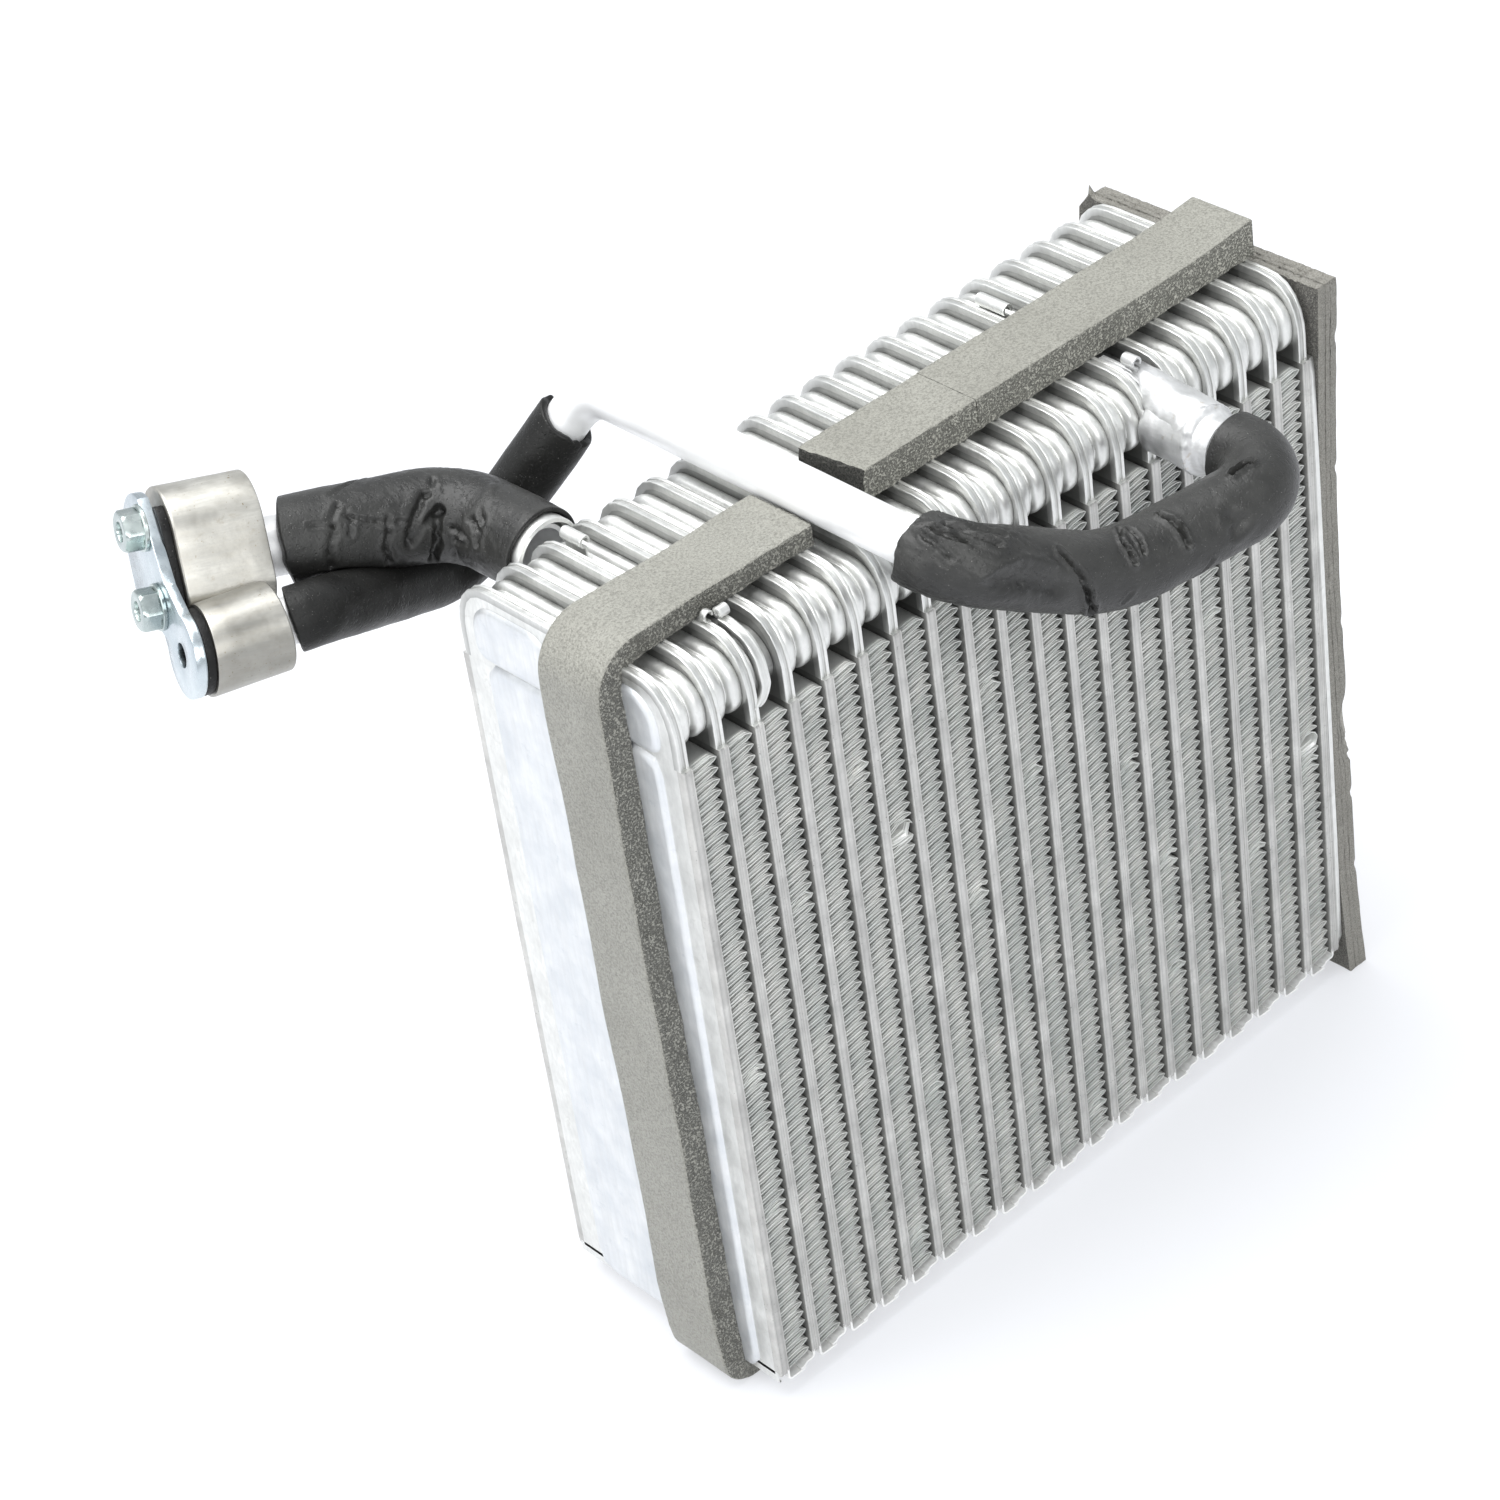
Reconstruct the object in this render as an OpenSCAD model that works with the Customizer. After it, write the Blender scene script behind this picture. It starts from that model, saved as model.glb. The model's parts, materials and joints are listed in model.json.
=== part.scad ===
// Laminated-plate cooling coil with its pipe run, foam strips and port block.
// Units are millimetres. X runs across the columns, Y front to back, Z up.

/* [Core] */
// Distance between two tube centres
pitch = 12; // [10:0.5:14]
// Depth of the core, front edge to rear edge
depth = 84.3; // [60:0.1:110]
// Height of the plates
height = 235; // [180:1:300]
// Height of the finned part of the plates
fin_top = 211; // [150:1:280]
// Outside thickness of one flat tube
tube_t = 3.2; // [2:0.1:5]
// Sheet thickness of the bottom tabs
tab_t = 0.8; // [0.5:0.1:1.5]
// Rise of one full fin wave
wave = 3.45; // [2:0.05:6]
// Fin sheet thickness
fin_t = 0.24; // [0.12:0.02:0.5]

/* [Pipes] */
// Outside diameter of the liquid pipe
liquid_od = 12.7; // [8:0.1:16]
// Outside diameter of the suction pipe
suction_od = 15.9; // [12:0.1:22]
// Outside diameter of the liquid pipe sleeve
liquid_sleeve_od = 17.6; // [15:0.1:24]
// Outside diameter of the front loop sleeve
front_sleeve_od = 21.2; // [16:0.1:26]
// Outside diameter of the suction pipe sleeve
suction_sleeve_od = 24.8; // [18:0.1:30]
// Pipe wall
pipe_wall = 1.1; // [0.8:0.1:2]

/* [Foam] */
// Thickness of the strip on top
strip_t = 9.5; // [4:0.5:14]
// Thickness of the wrapped tape
tape_t = 5.6; // [3:0.1:9]
// Thickness of the pad on the right end
pad_t = 7.4; // [4:0.1:12]

/* [Hidden] */
ORG = [87.13, 55.59, -6];
alloy = [0.80, 0.81, 0.82];
fin_grey = [0.62, 0.64, 0.63];
foam_grey = [0.58, 0.57, 0.53];
sleeve_grey = [0.20, 0.20, 0.21];
rubber_black = [0.06, 0.06, 0.07];
zinc = [0.72, 0.78, 0.82];
ht = tube_t / 2;
half = pitch / 2;

// moves a piece to tube position i
module at(i) { translate([pitch * i, 0, 0]) translate(-ORG) children(); }
module put() { translate(-ORG) children(); }

// polygon in the Y-Z plane, pushed from x0 to x1
module yz(x0, x1, pts) {
  translate([x0, 0, 0]) rotate([90, 0, 90]) linear_extrude(height = x1 - x0) polygon(pts);
}
// polygon in the X-Z plane, pushed from y0 to y1
module xz(y0, y1, pts) {
  translate([0, y1, 0]) rotate([90, 0, 0]) linear_extrude(height = y1 - y0) polygon(pts);
}
function arc(cx, cy, r, a0, a1, n = 4) =
  [for (k = [0:n]) let (a = a0 + (a1 - a0) * k / n) [cx + r * cos(a), cy + r * sin(a)]];
// rounded rectangle with one radius for the top and one for the bottom
function rrect(y0, y1, z0, z1, rt, rb) = concat(
  arc(y0 + rb, z0 + rb, rb, 180, 270), arc(y1 - rb, z0 + rb, rb, 270, 360),
  arc(y1 - rt, z1 - rt, rt, 0, 90), arc(y0 + rt, z1 - rt, rt, 90, 180));

// outline of one plate; s sets how far the edge is inset
function plate_pts(s) = concat(
  [[s, 3], [depth - s, 3], [depth - s, fin_top], [depth - 1.25 - s, fin_top]],
  arc(depth - 14.25, height - 13, 13 - s, 0, 90, 6),
  arc(14.25, height - 13, 13 - s, 90, 180, 6),
  [[1.25 + s, fin_top], [s, fin_top]]);

// tank cups: widest, bulged and seam outlines; f = true for the front tank
cup_a = [3.0, 40.0, 213.4, 230.9, 8.6, 6.5];
cup_b = [2.7, 40.3, 213.1, 231.5, 9.2, 7];
cup_c = [4.4, 38.6, 214.5, 230.5, 8.6, 7];
cup_h = [6.0, 37.0, 216.1, 228.9, 6, 5.5];
function cup(c, f, g = 0) = f
  ? rrect(c[0] - g, c[1] + g, c[2] - g, c[3] + g, c[4], c[5])
  : rrect(depth - c[1] - g, depth - c[0] + g, c[2] - g, c[3] + g, c[4], c[5]);

module cup_solid(f, d) {
  if (d > 0) {
    yz(ht - 0.2, 2.3, cup(cup_a, f));
    yz(2.3, 5.1, cup(cup_b, f));
    yz(5.1, half - 0.02, cup(cup_c, f));
  } else {
    yz(-2.3, 0.2 - ht, cup(cup_a, f));
    yz(-5.1, -2.3, cup(cup_b, f));
    yz(0.02 - half, -5.1, cup(cup_c, f));
  }
}

// right-going and left-going bottom tabs
module tab_right() {
  xz(0, depth, [[0.8, 0], [half + 1.2, 0], [half + 1.2, tab_t], [ht, tab_t], [ht, 3.1], [0.8, 3.1]]);
}
module tab_left() {
  z = 2 * tab_t + 0.05;
  xz(0, depth, [[-0.8, 3.1], [-ht, 3.1], [-ht, z + tab_t], [-4.3, z + tab_t], [-5.0, z],
    [-half - 0.5, z], [-half - 0.5, tab_t + 0.05], [-4.9, tab_t + 0.05], [-4.1, z], [-0.8, z]]);
}

module sheets(x0, x1) {
  yz(x0, -0.3, plate_pts(0));
  yz(-0.3, 0.3, plate_pts(0.7));
  yz(0.3, x1, plate_pts(0));
}
// passages: tank bores and the two flow slots
module passages(x0, x1) {
  yz(x0, x1, cup(cup_h, true));
  yz(x0, x1, cup(cup_h, false));
  yz(-0.8, 0.8, [[3, 6], [40.6, 6], [40.6, 212], [36, 219], [9, 219], [3, 212]]);
  yz(-0.8, 0.8, [[depth - 3, 6], [depth - 40.6, 6], [depth - 40.6, 212], [depth - 36, 219], [depth - 9, 219], [depth - 3, 212]]);
}

module pair(l, r) {
  difference() {
    union() {
      sheets(-ht, ht);
      if (r) { cup_solid(true, 1); cup_solid(false, 1); }
      if (l) { cup_solid(true, -1); cup_solid(false, -1); }
      tab_right();
      tab_left();
    }
    passages(l ? -half - 1 : -ht - 1, r ? half + 1 : ht + 1);
  }
}

// one corrugated fin between tube i and tube i + 1
fx0 = ht + 0.06;
fx1 = pitch - ht - 0.06;
fz0 = 3.2;
nleg = 2 * floor((fin_top - 0.6 - fz0) / wave);
lz = wave / 2;
tipz = 1.2;
function leg(k, s) = let (zz = fz0 + k * lz, a = s * fin_t / 2)
  (k % 2 == 0) ? [[fx0 + fin_t / 2 - a, zz + tipz / 2 + a], [fx1 - fin_t / 2 - a, zz + lz - tipz / 2 + a]]
               : [[fx1 - fin_t / 2 - a, zz + tipz / 2 - a], [fx0 + fin_t / 2 - a, zz + lz - tipz / 2 - a]];
function side(s) = [for (k = [0:nleg - 1]) for (p = leg(k, s)) p];
module fin() {
  up = side(1);
  dn = side(-1);
  n = len(up);
  xz(1.3, depth - 1.3, concat(dn, [for (k = [0:n - 1]) up[n - 1 - k]]));
}

module plate_pair_01() { color(alloy) at(1) pair(true, true); }
module plate_pair_02() { color(alloy) at(2) pair(true, false); }
module plate_pair_03() { color(alloy) at(3) pair(false, true); }
module plate_pair_04() { color(alloy) at(4) pair(true, true); }
module plate_pair_05() { color(alloy) at(5) pair(true, true); }
module plate_pair_06() { color(alloy) at(6) pair(true, true); }
module plate_pair_07() { color(alloy) at(7) pair(true, true); }
module plate_pair_08() { color(alloy) at(8) pair(true, true); }
module plate_pair_09() { color(alloy) at(9) pair(true, true); }
module plate_pair_10() { color(alloy) at(10) pair(true, true); }
module plate_pair_11() { color(alloy) at(11) pair(true, true); }
module plate_pair_12() { color(alloy) at(12) pair(true, true); }
module plate_pair_13() { color(alloy) at(13) pair(true, true); }
module plate_pair_14() { color(alloy) at(14) pair(true, false); }
module plate_pair_15() { color(alloy) at(15) pair(false, true); }
module plate_pair_16() { color(alloy) at(16) pair(true, true); }
module plate_pair_17() { color(alloy) at(17) pair(true, true); }
module plate_pair_18() { color(alloy) at(18) pair(true, true); }
module fin_01() { color(fin_grey) at(0) fin(); }
module fin_02() { color(fin_grey) at(1) fin(); }
module fin_03() { color(fin_grey) at(2) fin(); }
module fin_04() { color(fin_grey) at(3) fin(); }
module fin_05() { color(fin_grey) at(4) fin(); }
module fin_06() { color(fin_grey) at(5) fin(); }
module fin_07() { color(fin_grey) at(6) fin(); }
module fin_08() { color(fin_grey) at(7) fin(); }
module fin_09() { color(fin_grey) at(8) fin(); }
module fin_10() { color(fin_grey) at(9) fin(); }
module fin_11() { color(fin_grey) at(10) fin(); }
module fin_12() { color(fin_grey) at(11) fin(); }
module fin_13() { color(fin_grey) at(12) fin(); }
module fin_14() { color(fin_grey) at(13) fin(); }
module fin_15() { color(fin_grey) at(14) fin(); }
module fin_16() { color(fin_grey) at(15) fin(); }
module fin_17() { color(fin_grey) at(16) fin(); }
module fin_18() { color(fin_grey) at(17) fin(); }
module fin_19() { color(fin_grey) at(18) fin(); }

module left_end_plate() {
  color(alloy) at(0) difference() {
    union() {
      sheets(-ht, ht);
      cup_solid(true, 1);
      cup_solid(false, 1);
      tab_right();
      // outer sheet: raised panel with a D-shaped swelling at each tank
      yz(-ht - 1.0, -ht, rrect(10.6, depth - 10.6, 0.6, 222, 6, 5));
      yz(-ht - 1.0, -ht, rrect(7.4, 38.6, 213.6, 230.3, 8, 5));
      yz(-ht - 1.0, -ht, rrect(depth - 38.6, depth - 7.4, 213.6, 230.3, 8, 5));
      yz(-ht, -0.8, [[1, 0.4], [depth - 1, 0.4], [depth - 1, 3.1], [1, 3.1]]);
    }
    passages(-0.8, half + 1);
    translate([-3, 62.5, 219.5]) rotate([0, 90, 0]) cylinder(h = 0.9, r = 1.6, $fn = 48);
  }
}

module right_end_plate() {
  color(alloy) at(19) difference() {
    union() {
      sheets(-ht, ht);
      cup_solid(true, -1);
      cup_solid(false, -1);
      tab_left();
      // outer stiffening sheet of the end, from the notch down
      yz(ht, ht + 1.9, rrect(0, depth, 0.3, fin_top, 1, 7));
      xz(1, depth - 1, [[0.8, 0.9], [ht, 0.9], [ht, 3.1], [0.8, 3.1]]);
    }
    passages(-half - 1, 0.8);
  }
}

// closed insert between two plates, column starts at tube i
ix0 = ht + 0.04;
ix1 = pitch - ht - 0.04;
module insert(f) { yz(ix0, ix1, cup(cup_b, f, 0.2)); }
module insert_bore(f) { yz(ix0 - 1, ix1 + 1, cup(cup_h, f)); }
// rolled locating tab standing on an insert
module tab_roll(x, y0, y1) {
  translate([x - 0.5, y0, 231]) cube([1, y1 - y0, height - 231 + 1.2]);
  translate([x, y0, height + 1.6]) rotate([-90, 0, 0]) cylinder(h = y1 - y0, r = 1.7, $fn = 48);
}

module blank_cap_front() {
  color(alloy) at(2) difference() {
    union() {
      insert(true);
      tab_roll(4, 9.5, 15.5);
      // free lip of the band, in front of the cup
      translate([ix0 + 0.6, 0.9, 216]) cube([7.2, 2.4, 9]);
    }
    insert_bore(true);
  }
}

module blank_cap_rear() {
  color(alloy) at(14) difference() {
    union() {
      insert(false);
      tab_roll(3, 54, 65);
      translate([ix0 + 0.6, depth - 3.3, 216]) cube([7.2, 2.4, 9]);
    }
    insert_bore(false);
  }
}

inlet_z = 220;
module inlet_fitting() {
  color(alloy) put() difference() {
    union() {
      translate([14 * pitch, 0, 0]) { insert(true); tab_roll(4, 4.5, 13); }
      translate([174 - 4.3, 0.9, inlet_z - 5.5]) cube([8.6, 3, 11]);
      translate([174, 1.0, inlet_z]) rotate([90, 0, 0]) cylinder(h = 15, r1 = 9.4, r2 = 10.4, $fn = 64);
      translate([174, -14, inlet_z]) rotate([90, 0, 0]) cylinder(h = 2.2, r = 8.6, $fn = 64);
      translate([174, -16.2, inlet_z]) rotate([90, 0, 0]) cylinder(h = 3.2, r = 7.5, $fn = 64);
    }
    translate([14 * pitch, 0, 0]) insert_bore(true);
    translate([174, -5, inlet_z]) rotate([90, 0, 0]) cylinder(h = 20, r = liquid_od / 2 + 0.04, $fn = 64);
    translate([174, 8, inlet_z]) rotate([90, 0, 0]) cylinder(h = 14, r = 3.4, $fn = 48);
  }
}

outlet_z = 223;
module outlet_fitting() {
  color(alloy) put() difference() {
    union() {
      translate([2 * pitch, 0, 0]) { insert(false); tab_roll(4, 63, 76); }
      translate([30 - 4.3, depth - 3.9, outlet_z - 6]) cube([8.6, 3, 12]);
      translate([30, depth - 1, outlet_z]) rotate([-90, 0, 0]) cylinder(h = 5, r = 10.6, $fn = 64);
      translate([30, depth + 4, outlet_z]) rotate([-90, 0, 0]) cylinder(h = 3.4, r = 9.4, $fn = 64);
    }
    translate([2 * pitch, 0, 0]) insert_bore(false);
    translate([30, depth + 1, outlet_z]) rotate([-90, 0, 0]) cylinder(h = 20, r = suction_od / 2 + 0.04, $fn = 64);
    translate([30, depth - 8, outlet_z]) rotate([-90, 0, 0]) cylinder(h = 14, r = 3.6, $fn = 48);
  }
}

// ---- pipes ----
function unit(v) = v / norm(v);
// turns the axes onto ex, ey and ex x ey
module frame(o, ex, ey) {
  ez = cross(ex, ey);
  translate(o) rotate([atan2(ey[2], ez[2]), asin(max(-1, min(1, -ex[2]))), atan2(ex[1], ex[0])]) children();
}
module ring2(ro, ri) { difference() { circle(r = ro, $fn = 64); if (ri > 0) circle(r = ri, $fn = 64); } }
module straight(p, q, ro, ri) {
  u = unit(q - p);
  h = abs(u[2]) > 0.9 ? [1, 0, 0] : [0, 0, 1];
  ex = unit(cross(h, u));
  frame(p, ex, cross(u, ex)) difference() {
    cylinder(h = norm(q - p), r = ro, $fn = 64);
    if (ri > 0) translate([0, 0, -1]) cylinder(h = norm(q - p) + 2, r = ri, $fn = 64);
  }
}
function turn(a, b, c) = acos(max(-1, min(1, unit(b - a) * unit(c - b))));
function cut(a, b, c, r) = r * tan(turn(a, b, c) / 2);
module bend(a, b, c, r, ro, ri) {
  u = unit(b - a);
  w = unit(c - b);
  s = b - u * cut(a, b, c, r);
  inward = unit(w - u * (u * w));
  cen = s + inward * r;
  // a hair thicker than the straights and lapping 0.3 mm into them
  d = 0.3 / r * 57.2958;
  frame(cen, -inward, u) rotate([0, 0, -d]) rotate_extrude(angle = turn(a, b, c) + 2 * d, $fn = 96)
    translate([r, 0, 0]) ring2(ro + 0.08, ri - 0.08);
}
// straight pieces and bends along the points p, radii r at the inner points
module run(p, r, ro, ri) {
  n = len(p);
  for (k = [0:n - 2]) {
    u = unit(p[k + 1] - p[k]);
    t0 = k == 0 ? 0 : cut(p[k - 1], p[k], p[k + 1], r[k - 1]);
    t1 = k == n - 2 ? 0 : cut(p[k], p[k + 1], p[k + 2], r[k]);
    straight(p[k] + u * t0, p[k + 1] - u * t1, ro, ri);
  }
  for (k = [1:n - 2]) bend(p[k - 1], p[k], p[k + 1], r[k - 1], ro, ri);
}

// port block position: F1 is where the suction pipe leaves the block
F1 = [-23.77, 136.22, 233.0];
PC = [30, 120, 223.2];
a1 = unit(PC - F1);
e2g = [-0.16, -0.84, 0.52];
e2 = unit(e2g - a1 * (e2g * a1));
e1 = cross(a1, e2);
F2 = F1 + 19.4 * e1 + 16.4 * e2;
a2 = unit(a1 * 0.9928 - e1 * 0.12);
// the liquid run leaves the block, dips under the suction run and rises to the top
LK = F2 + a2 * 5.6;
JJ = [36.7, 134.2, 194.0];
CT = [71, 109.5, 243.4];
LA = [71, -25, 243.4];
LB = [116.5, -32, 217.5];
LD = [174, -42, inlet_z];

module suction_pipe() {
  color(alloy) put() run([[30, depth + 2, outlet_z], PC, F1 - a1 * 10], [19], suction_od / 2, suction_od / 2 - pipe_wall);
}
module suction_sleeve() {
  // the liquid sleeve presses a groove into the soft underside
  color(sleeve_grey) put() difference() {
    run([[30, depth + 2.4, outlet_z], PC, F1 + a1 * 9], [19], suction_sleeve_od / 2, suction_od / 2 + 0.2);
    // the mouth is stretched over the outlet collar
    translate([30, depth - 1, outlet_z]) rotate([-90, 0, 0]) cylinder(h = 5.3, r = 10.85, $fn = 64);
    translate([30, depth + 2, outlet_z]) rotate([-90, 0, 0]) cylinder(h = 5.8, r = 9.65, $fn = 64);
    straight(LK - unit(JJ - LK) * 2, JJ, liquid_sleeve_od / 2 + 0.05, 0);
  }
}
liquid_pts = [F2 - a2 * 10, LK, JJ, CT, LA, LB, LD, [174, -5.5, inlet_z]];
liquid_r = [12, 18, 14, 11, 45, 15];
module liquid_pipe() {
  color(alloy) put() run(liquid_pts, liquid_r, liquid_od / 2, liquid_od / 2 - pipe_wall);
}
module liquid_sleeve_rear() {
  color(sleeve_grey) put() run([F2 + a2 * 1.0, LK, JJ, CT - unit(CT - JJ) * 11.5], [12, 18], liquid_sleeve_od / 2, liquid_od / 2 + 0.2);
}
module liquid_sleeve_front() {
  color(sleeve_grey) put() run([[71, -14.6, 243.4], LA, LB, LD, [174, -22, inlet_z]], [11, 45, 15], front_sleeve_od / 2, liquid_od / 2 + 0.2);
}

// ---- port blocks, in a frame with z along the pipe, y down the face, x towards the front ----
module block_frame(o) { frame(o, e2, cross(a1, e2)) children(); }
lb = 24;
module suction_profile(s) {
  polygon(concat(
    [for (k = [0:12]) let (a = 180 + 180 * k / 12) [(13.5 - s) * cos(a), -7.7 + (13.5 - s) * sin(a)]],
    [[13.5 - s, 9], [9.5 - s * 0.5, 14.8 - s], [-9.5 + s * 0.5, 14.8 - s], [-13.5 + s, 9]]));
}
module suction_hole(d0, d1, r) { translate([0, 0, d0]) cylinder(h = d1 - d0, r = r, $fn = 64); }
liq0 = F2 - F1;
// centre of the liquid port at the seal end, in the block frame
lp = [16.4, 22.35];
bolts = [[6.0, -11.2], [6.6, 9.3]];

module connector_block() {
  color(alloy) put() difference() {
    union() {
      block_frame(F1) translate([0, 0, -lb]) linear_extrude(height = lb) suction_profile(0);
      difference() {
        straight(F2 - a2 * 32, F2 - a2 * 3.6, 12, 0);
        block_frame(F1) translate([-30, -30, -lb - 20]) cube([80, 80, 20]);
      }
    }
    block_frame(F1) {
      suction_hole(-10.5, 1, suction_od / 2 + 0.04);
      suction_hole(-lb - 1, 1, 6.3);
      for (b = bolts) translate([b[0], b[1], -lb - 1]) cylinder(h = 9, r = 2.52, $fn = 48);
    }
    straight(F2 - a2 * 10.5, F2, liquid_od / 2 + 0.04, 0);
    straight(F2 - a2 * 34, F2, 5, 0);
  }
}

module port_seal_suction() {
  color(rubber_black) put() block_frame(F1) translate([0, 0, -lb - 2.6]) difference() {
    linear_extrude(height = 2.58) suction_profile(1.3);
    translate([-20, -25, -1]) cube([40, 9.2, 5]);
    translate([0, 0, -1]) cylinder(h = 5, r = 6.3, $fn = 64);
    for (b = bolts) translate([b[0], b[1], -1]) cylinder(h = 5, r = 2.6, $fn = 48);
  }
}

module port_seal_liquid() {
  color(rubber_black) put() block_frame(F1) translate([lp[0], lp[1], -lb - 2.6]) difference() {
    cylinder(h = 2.58, r = 11.2, $fn = 96);
    translate([0, 0, -1]) cylinder(h = 5, r = 5, $fn = 64);
  }
}

module shipping_plate() {
  color(zinc) put() block_frame(F1) translate([0, 0, -lb - 5.62]) difference() {
    union() {
      linear_extrude(height = 3) suction_profile(0.6);
      translate([lp[0], lp[1], 0]) cylinder(h = 3, r = 11.6, $fn = 96);
      linear_extrude(height = 3) polygon([[0, 0], [12.9, 2], [26.5, 17], [6, 26.5]]);
    }
    translate([lp[0], lp[1], -1]) cylinder(h = 5, r = 3.25, $fn = 64);
    for (b = bolts) translate([b[0], b[1], -1]) cylinder(h = 5, r = 2.6, $fn = 48);
  }
}

module hex_bolts() {
  color(zinc) put() block_frame(F1) for (b = bolts) translate([b[0], b[1], -lb - 5.64]) {
    difference() {
      union() {
        translate([0, 0, -1.2]) cylinder(h = 1.2, r = 6.2, $fn = 64);
        translate([0, 0, -6.2]) rotate([0, 0, 20]) cylinder(h = 5.2, r = 5.77, $fn = 6);
        cylinder(h = 12, r = 2.5, $fn = 48);
      }
      translate([0, 0, -7.2]) cylinder(h = 2.2, r = 2.6, $fn = 48);
    }
  }
}

// ---- foam ----
module foam_strip_top_left() {
  color(foam_grey) put() xz(21, 43, [[82.6, height + 0.05], [81.6, height + 3], [82.8, height + 6], [82.1, height + strip_t],
    [125.9, height + strip_t], [125.9, height + 0.05]]);
}
module foam_strip_top_right() {
  color(foam_grey) put() translate([126.05, 21, height + 0.05]) cube([105.4, 22, strip_t - 0.05]);
}
module foam_tape_left() {
  b = -tape_t - 0.4;
  t = height + tape_t;
  xo = -ht - 1.05;
  color(foam_grey) put() xz(19, 41.4, concat(
    [[64, height + 0.05], [64.4, t]], arc(xo - tape_t + 13, t - 13, 13, 90, 180, 8),
    arc(xo - tape_t + 9, b + 9, 9, 180, 270, 8), [[58, b], [58, -0.05], [xo, -0.05], [xo, height + 0.05]]));
}
module foam_pad_right() {
  x0 = 19 * pitch + ht + 1.95;
  color(foam_grey) put() yz(x0, x0 + pad_t, concat([[-2.5, -6], [89, -6]], arc(77, 219, 12, 0, 90, 6), [[-2.5, 231]]));
}

left_end_plate();
right_end_plate();
plate_pair_01();
plate_pair_02();
plate_pair_03();
plate_pair_04();
plate_pair_05();
plate_pair_06();
plate_pair_07();
plate_pair_08();
plate_pair_09();
plate_pair_10();
plate_pair_11();
plate_pair_12();
plate_pair_13();
plate_pair_14();
plate_pair_15();
plate_pair_16();
plate_pair_17();
plate_pair_18();
fin_01();
fin_02();
fin_03();
fin_04();
fin_05();
fin_06();
fin_07();
fin_08();
fin_09();
fin_10();
fin_11();
fin_12();
fin_13();
fin_14();
fin_15();
fin_16();
fin_17();
fin_18();
fin_19();
blank_cap_front();
blank_cap_rear();
inlet_fitting();
outlet_fitting();
suction_pipe();
liquid_pipe();
suction_sleeve();
liquid_sleeve_rear();
liquid_sleeve_front();
foam_tape_left();
foam_strip_top_left();
foam_strip_top_right();
foam_pad_right();
connector_block();
port_seal_suction();
port_seal_liquid();
shipping_plate();
hex_bolts();
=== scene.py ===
import json
import math
import bpy
import numpy as np
from mathutils import Vector, Matrix, noise


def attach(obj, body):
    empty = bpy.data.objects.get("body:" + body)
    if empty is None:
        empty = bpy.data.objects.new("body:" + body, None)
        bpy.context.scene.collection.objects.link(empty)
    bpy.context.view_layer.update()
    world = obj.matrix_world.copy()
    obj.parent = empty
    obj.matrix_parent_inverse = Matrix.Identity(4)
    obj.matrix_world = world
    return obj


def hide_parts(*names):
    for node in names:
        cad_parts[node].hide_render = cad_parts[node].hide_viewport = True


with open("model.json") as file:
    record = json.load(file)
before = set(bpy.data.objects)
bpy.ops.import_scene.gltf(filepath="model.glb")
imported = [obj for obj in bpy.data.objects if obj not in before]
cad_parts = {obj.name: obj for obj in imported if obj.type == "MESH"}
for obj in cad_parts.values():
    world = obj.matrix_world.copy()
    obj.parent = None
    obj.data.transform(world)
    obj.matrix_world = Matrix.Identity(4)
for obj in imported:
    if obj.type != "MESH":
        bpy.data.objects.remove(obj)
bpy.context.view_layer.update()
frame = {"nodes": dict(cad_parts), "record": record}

# part coordinates are in millimetres from the front foot of the left plate; the row frame is in metres
ORG = np.array([87.13, 55.59, -6.0])
P, D, H, FT = 12.0, 84.3, 235.0, 211.0


def row(p):
    return (np.asarray(p, float) - ORG) / 1000.0


def unit(v):
    v = np.asarray(v, float)
    return v / np.linalg.norm(v)


def rng(seed):
    return np.random.default_rng(seed)


# ---------------------------------------------------------------- materials
def new_mat(name):
    m = bpy.data.materials.new(name)
    m.use_nodes = True
    nt = m.node_tree
    for n in list(nt.nodes):
        nt.nodes.remove(n)
    out = nt.nodes.new("ShaderNodeOutputMaterial")
    bsdf = nt.nodes.new("ShaderNodeBsdfPrincipled")
    nt.links.new(bsdf.outputs[0], out.inputs[0])
    return m, nt, bsdf


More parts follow.
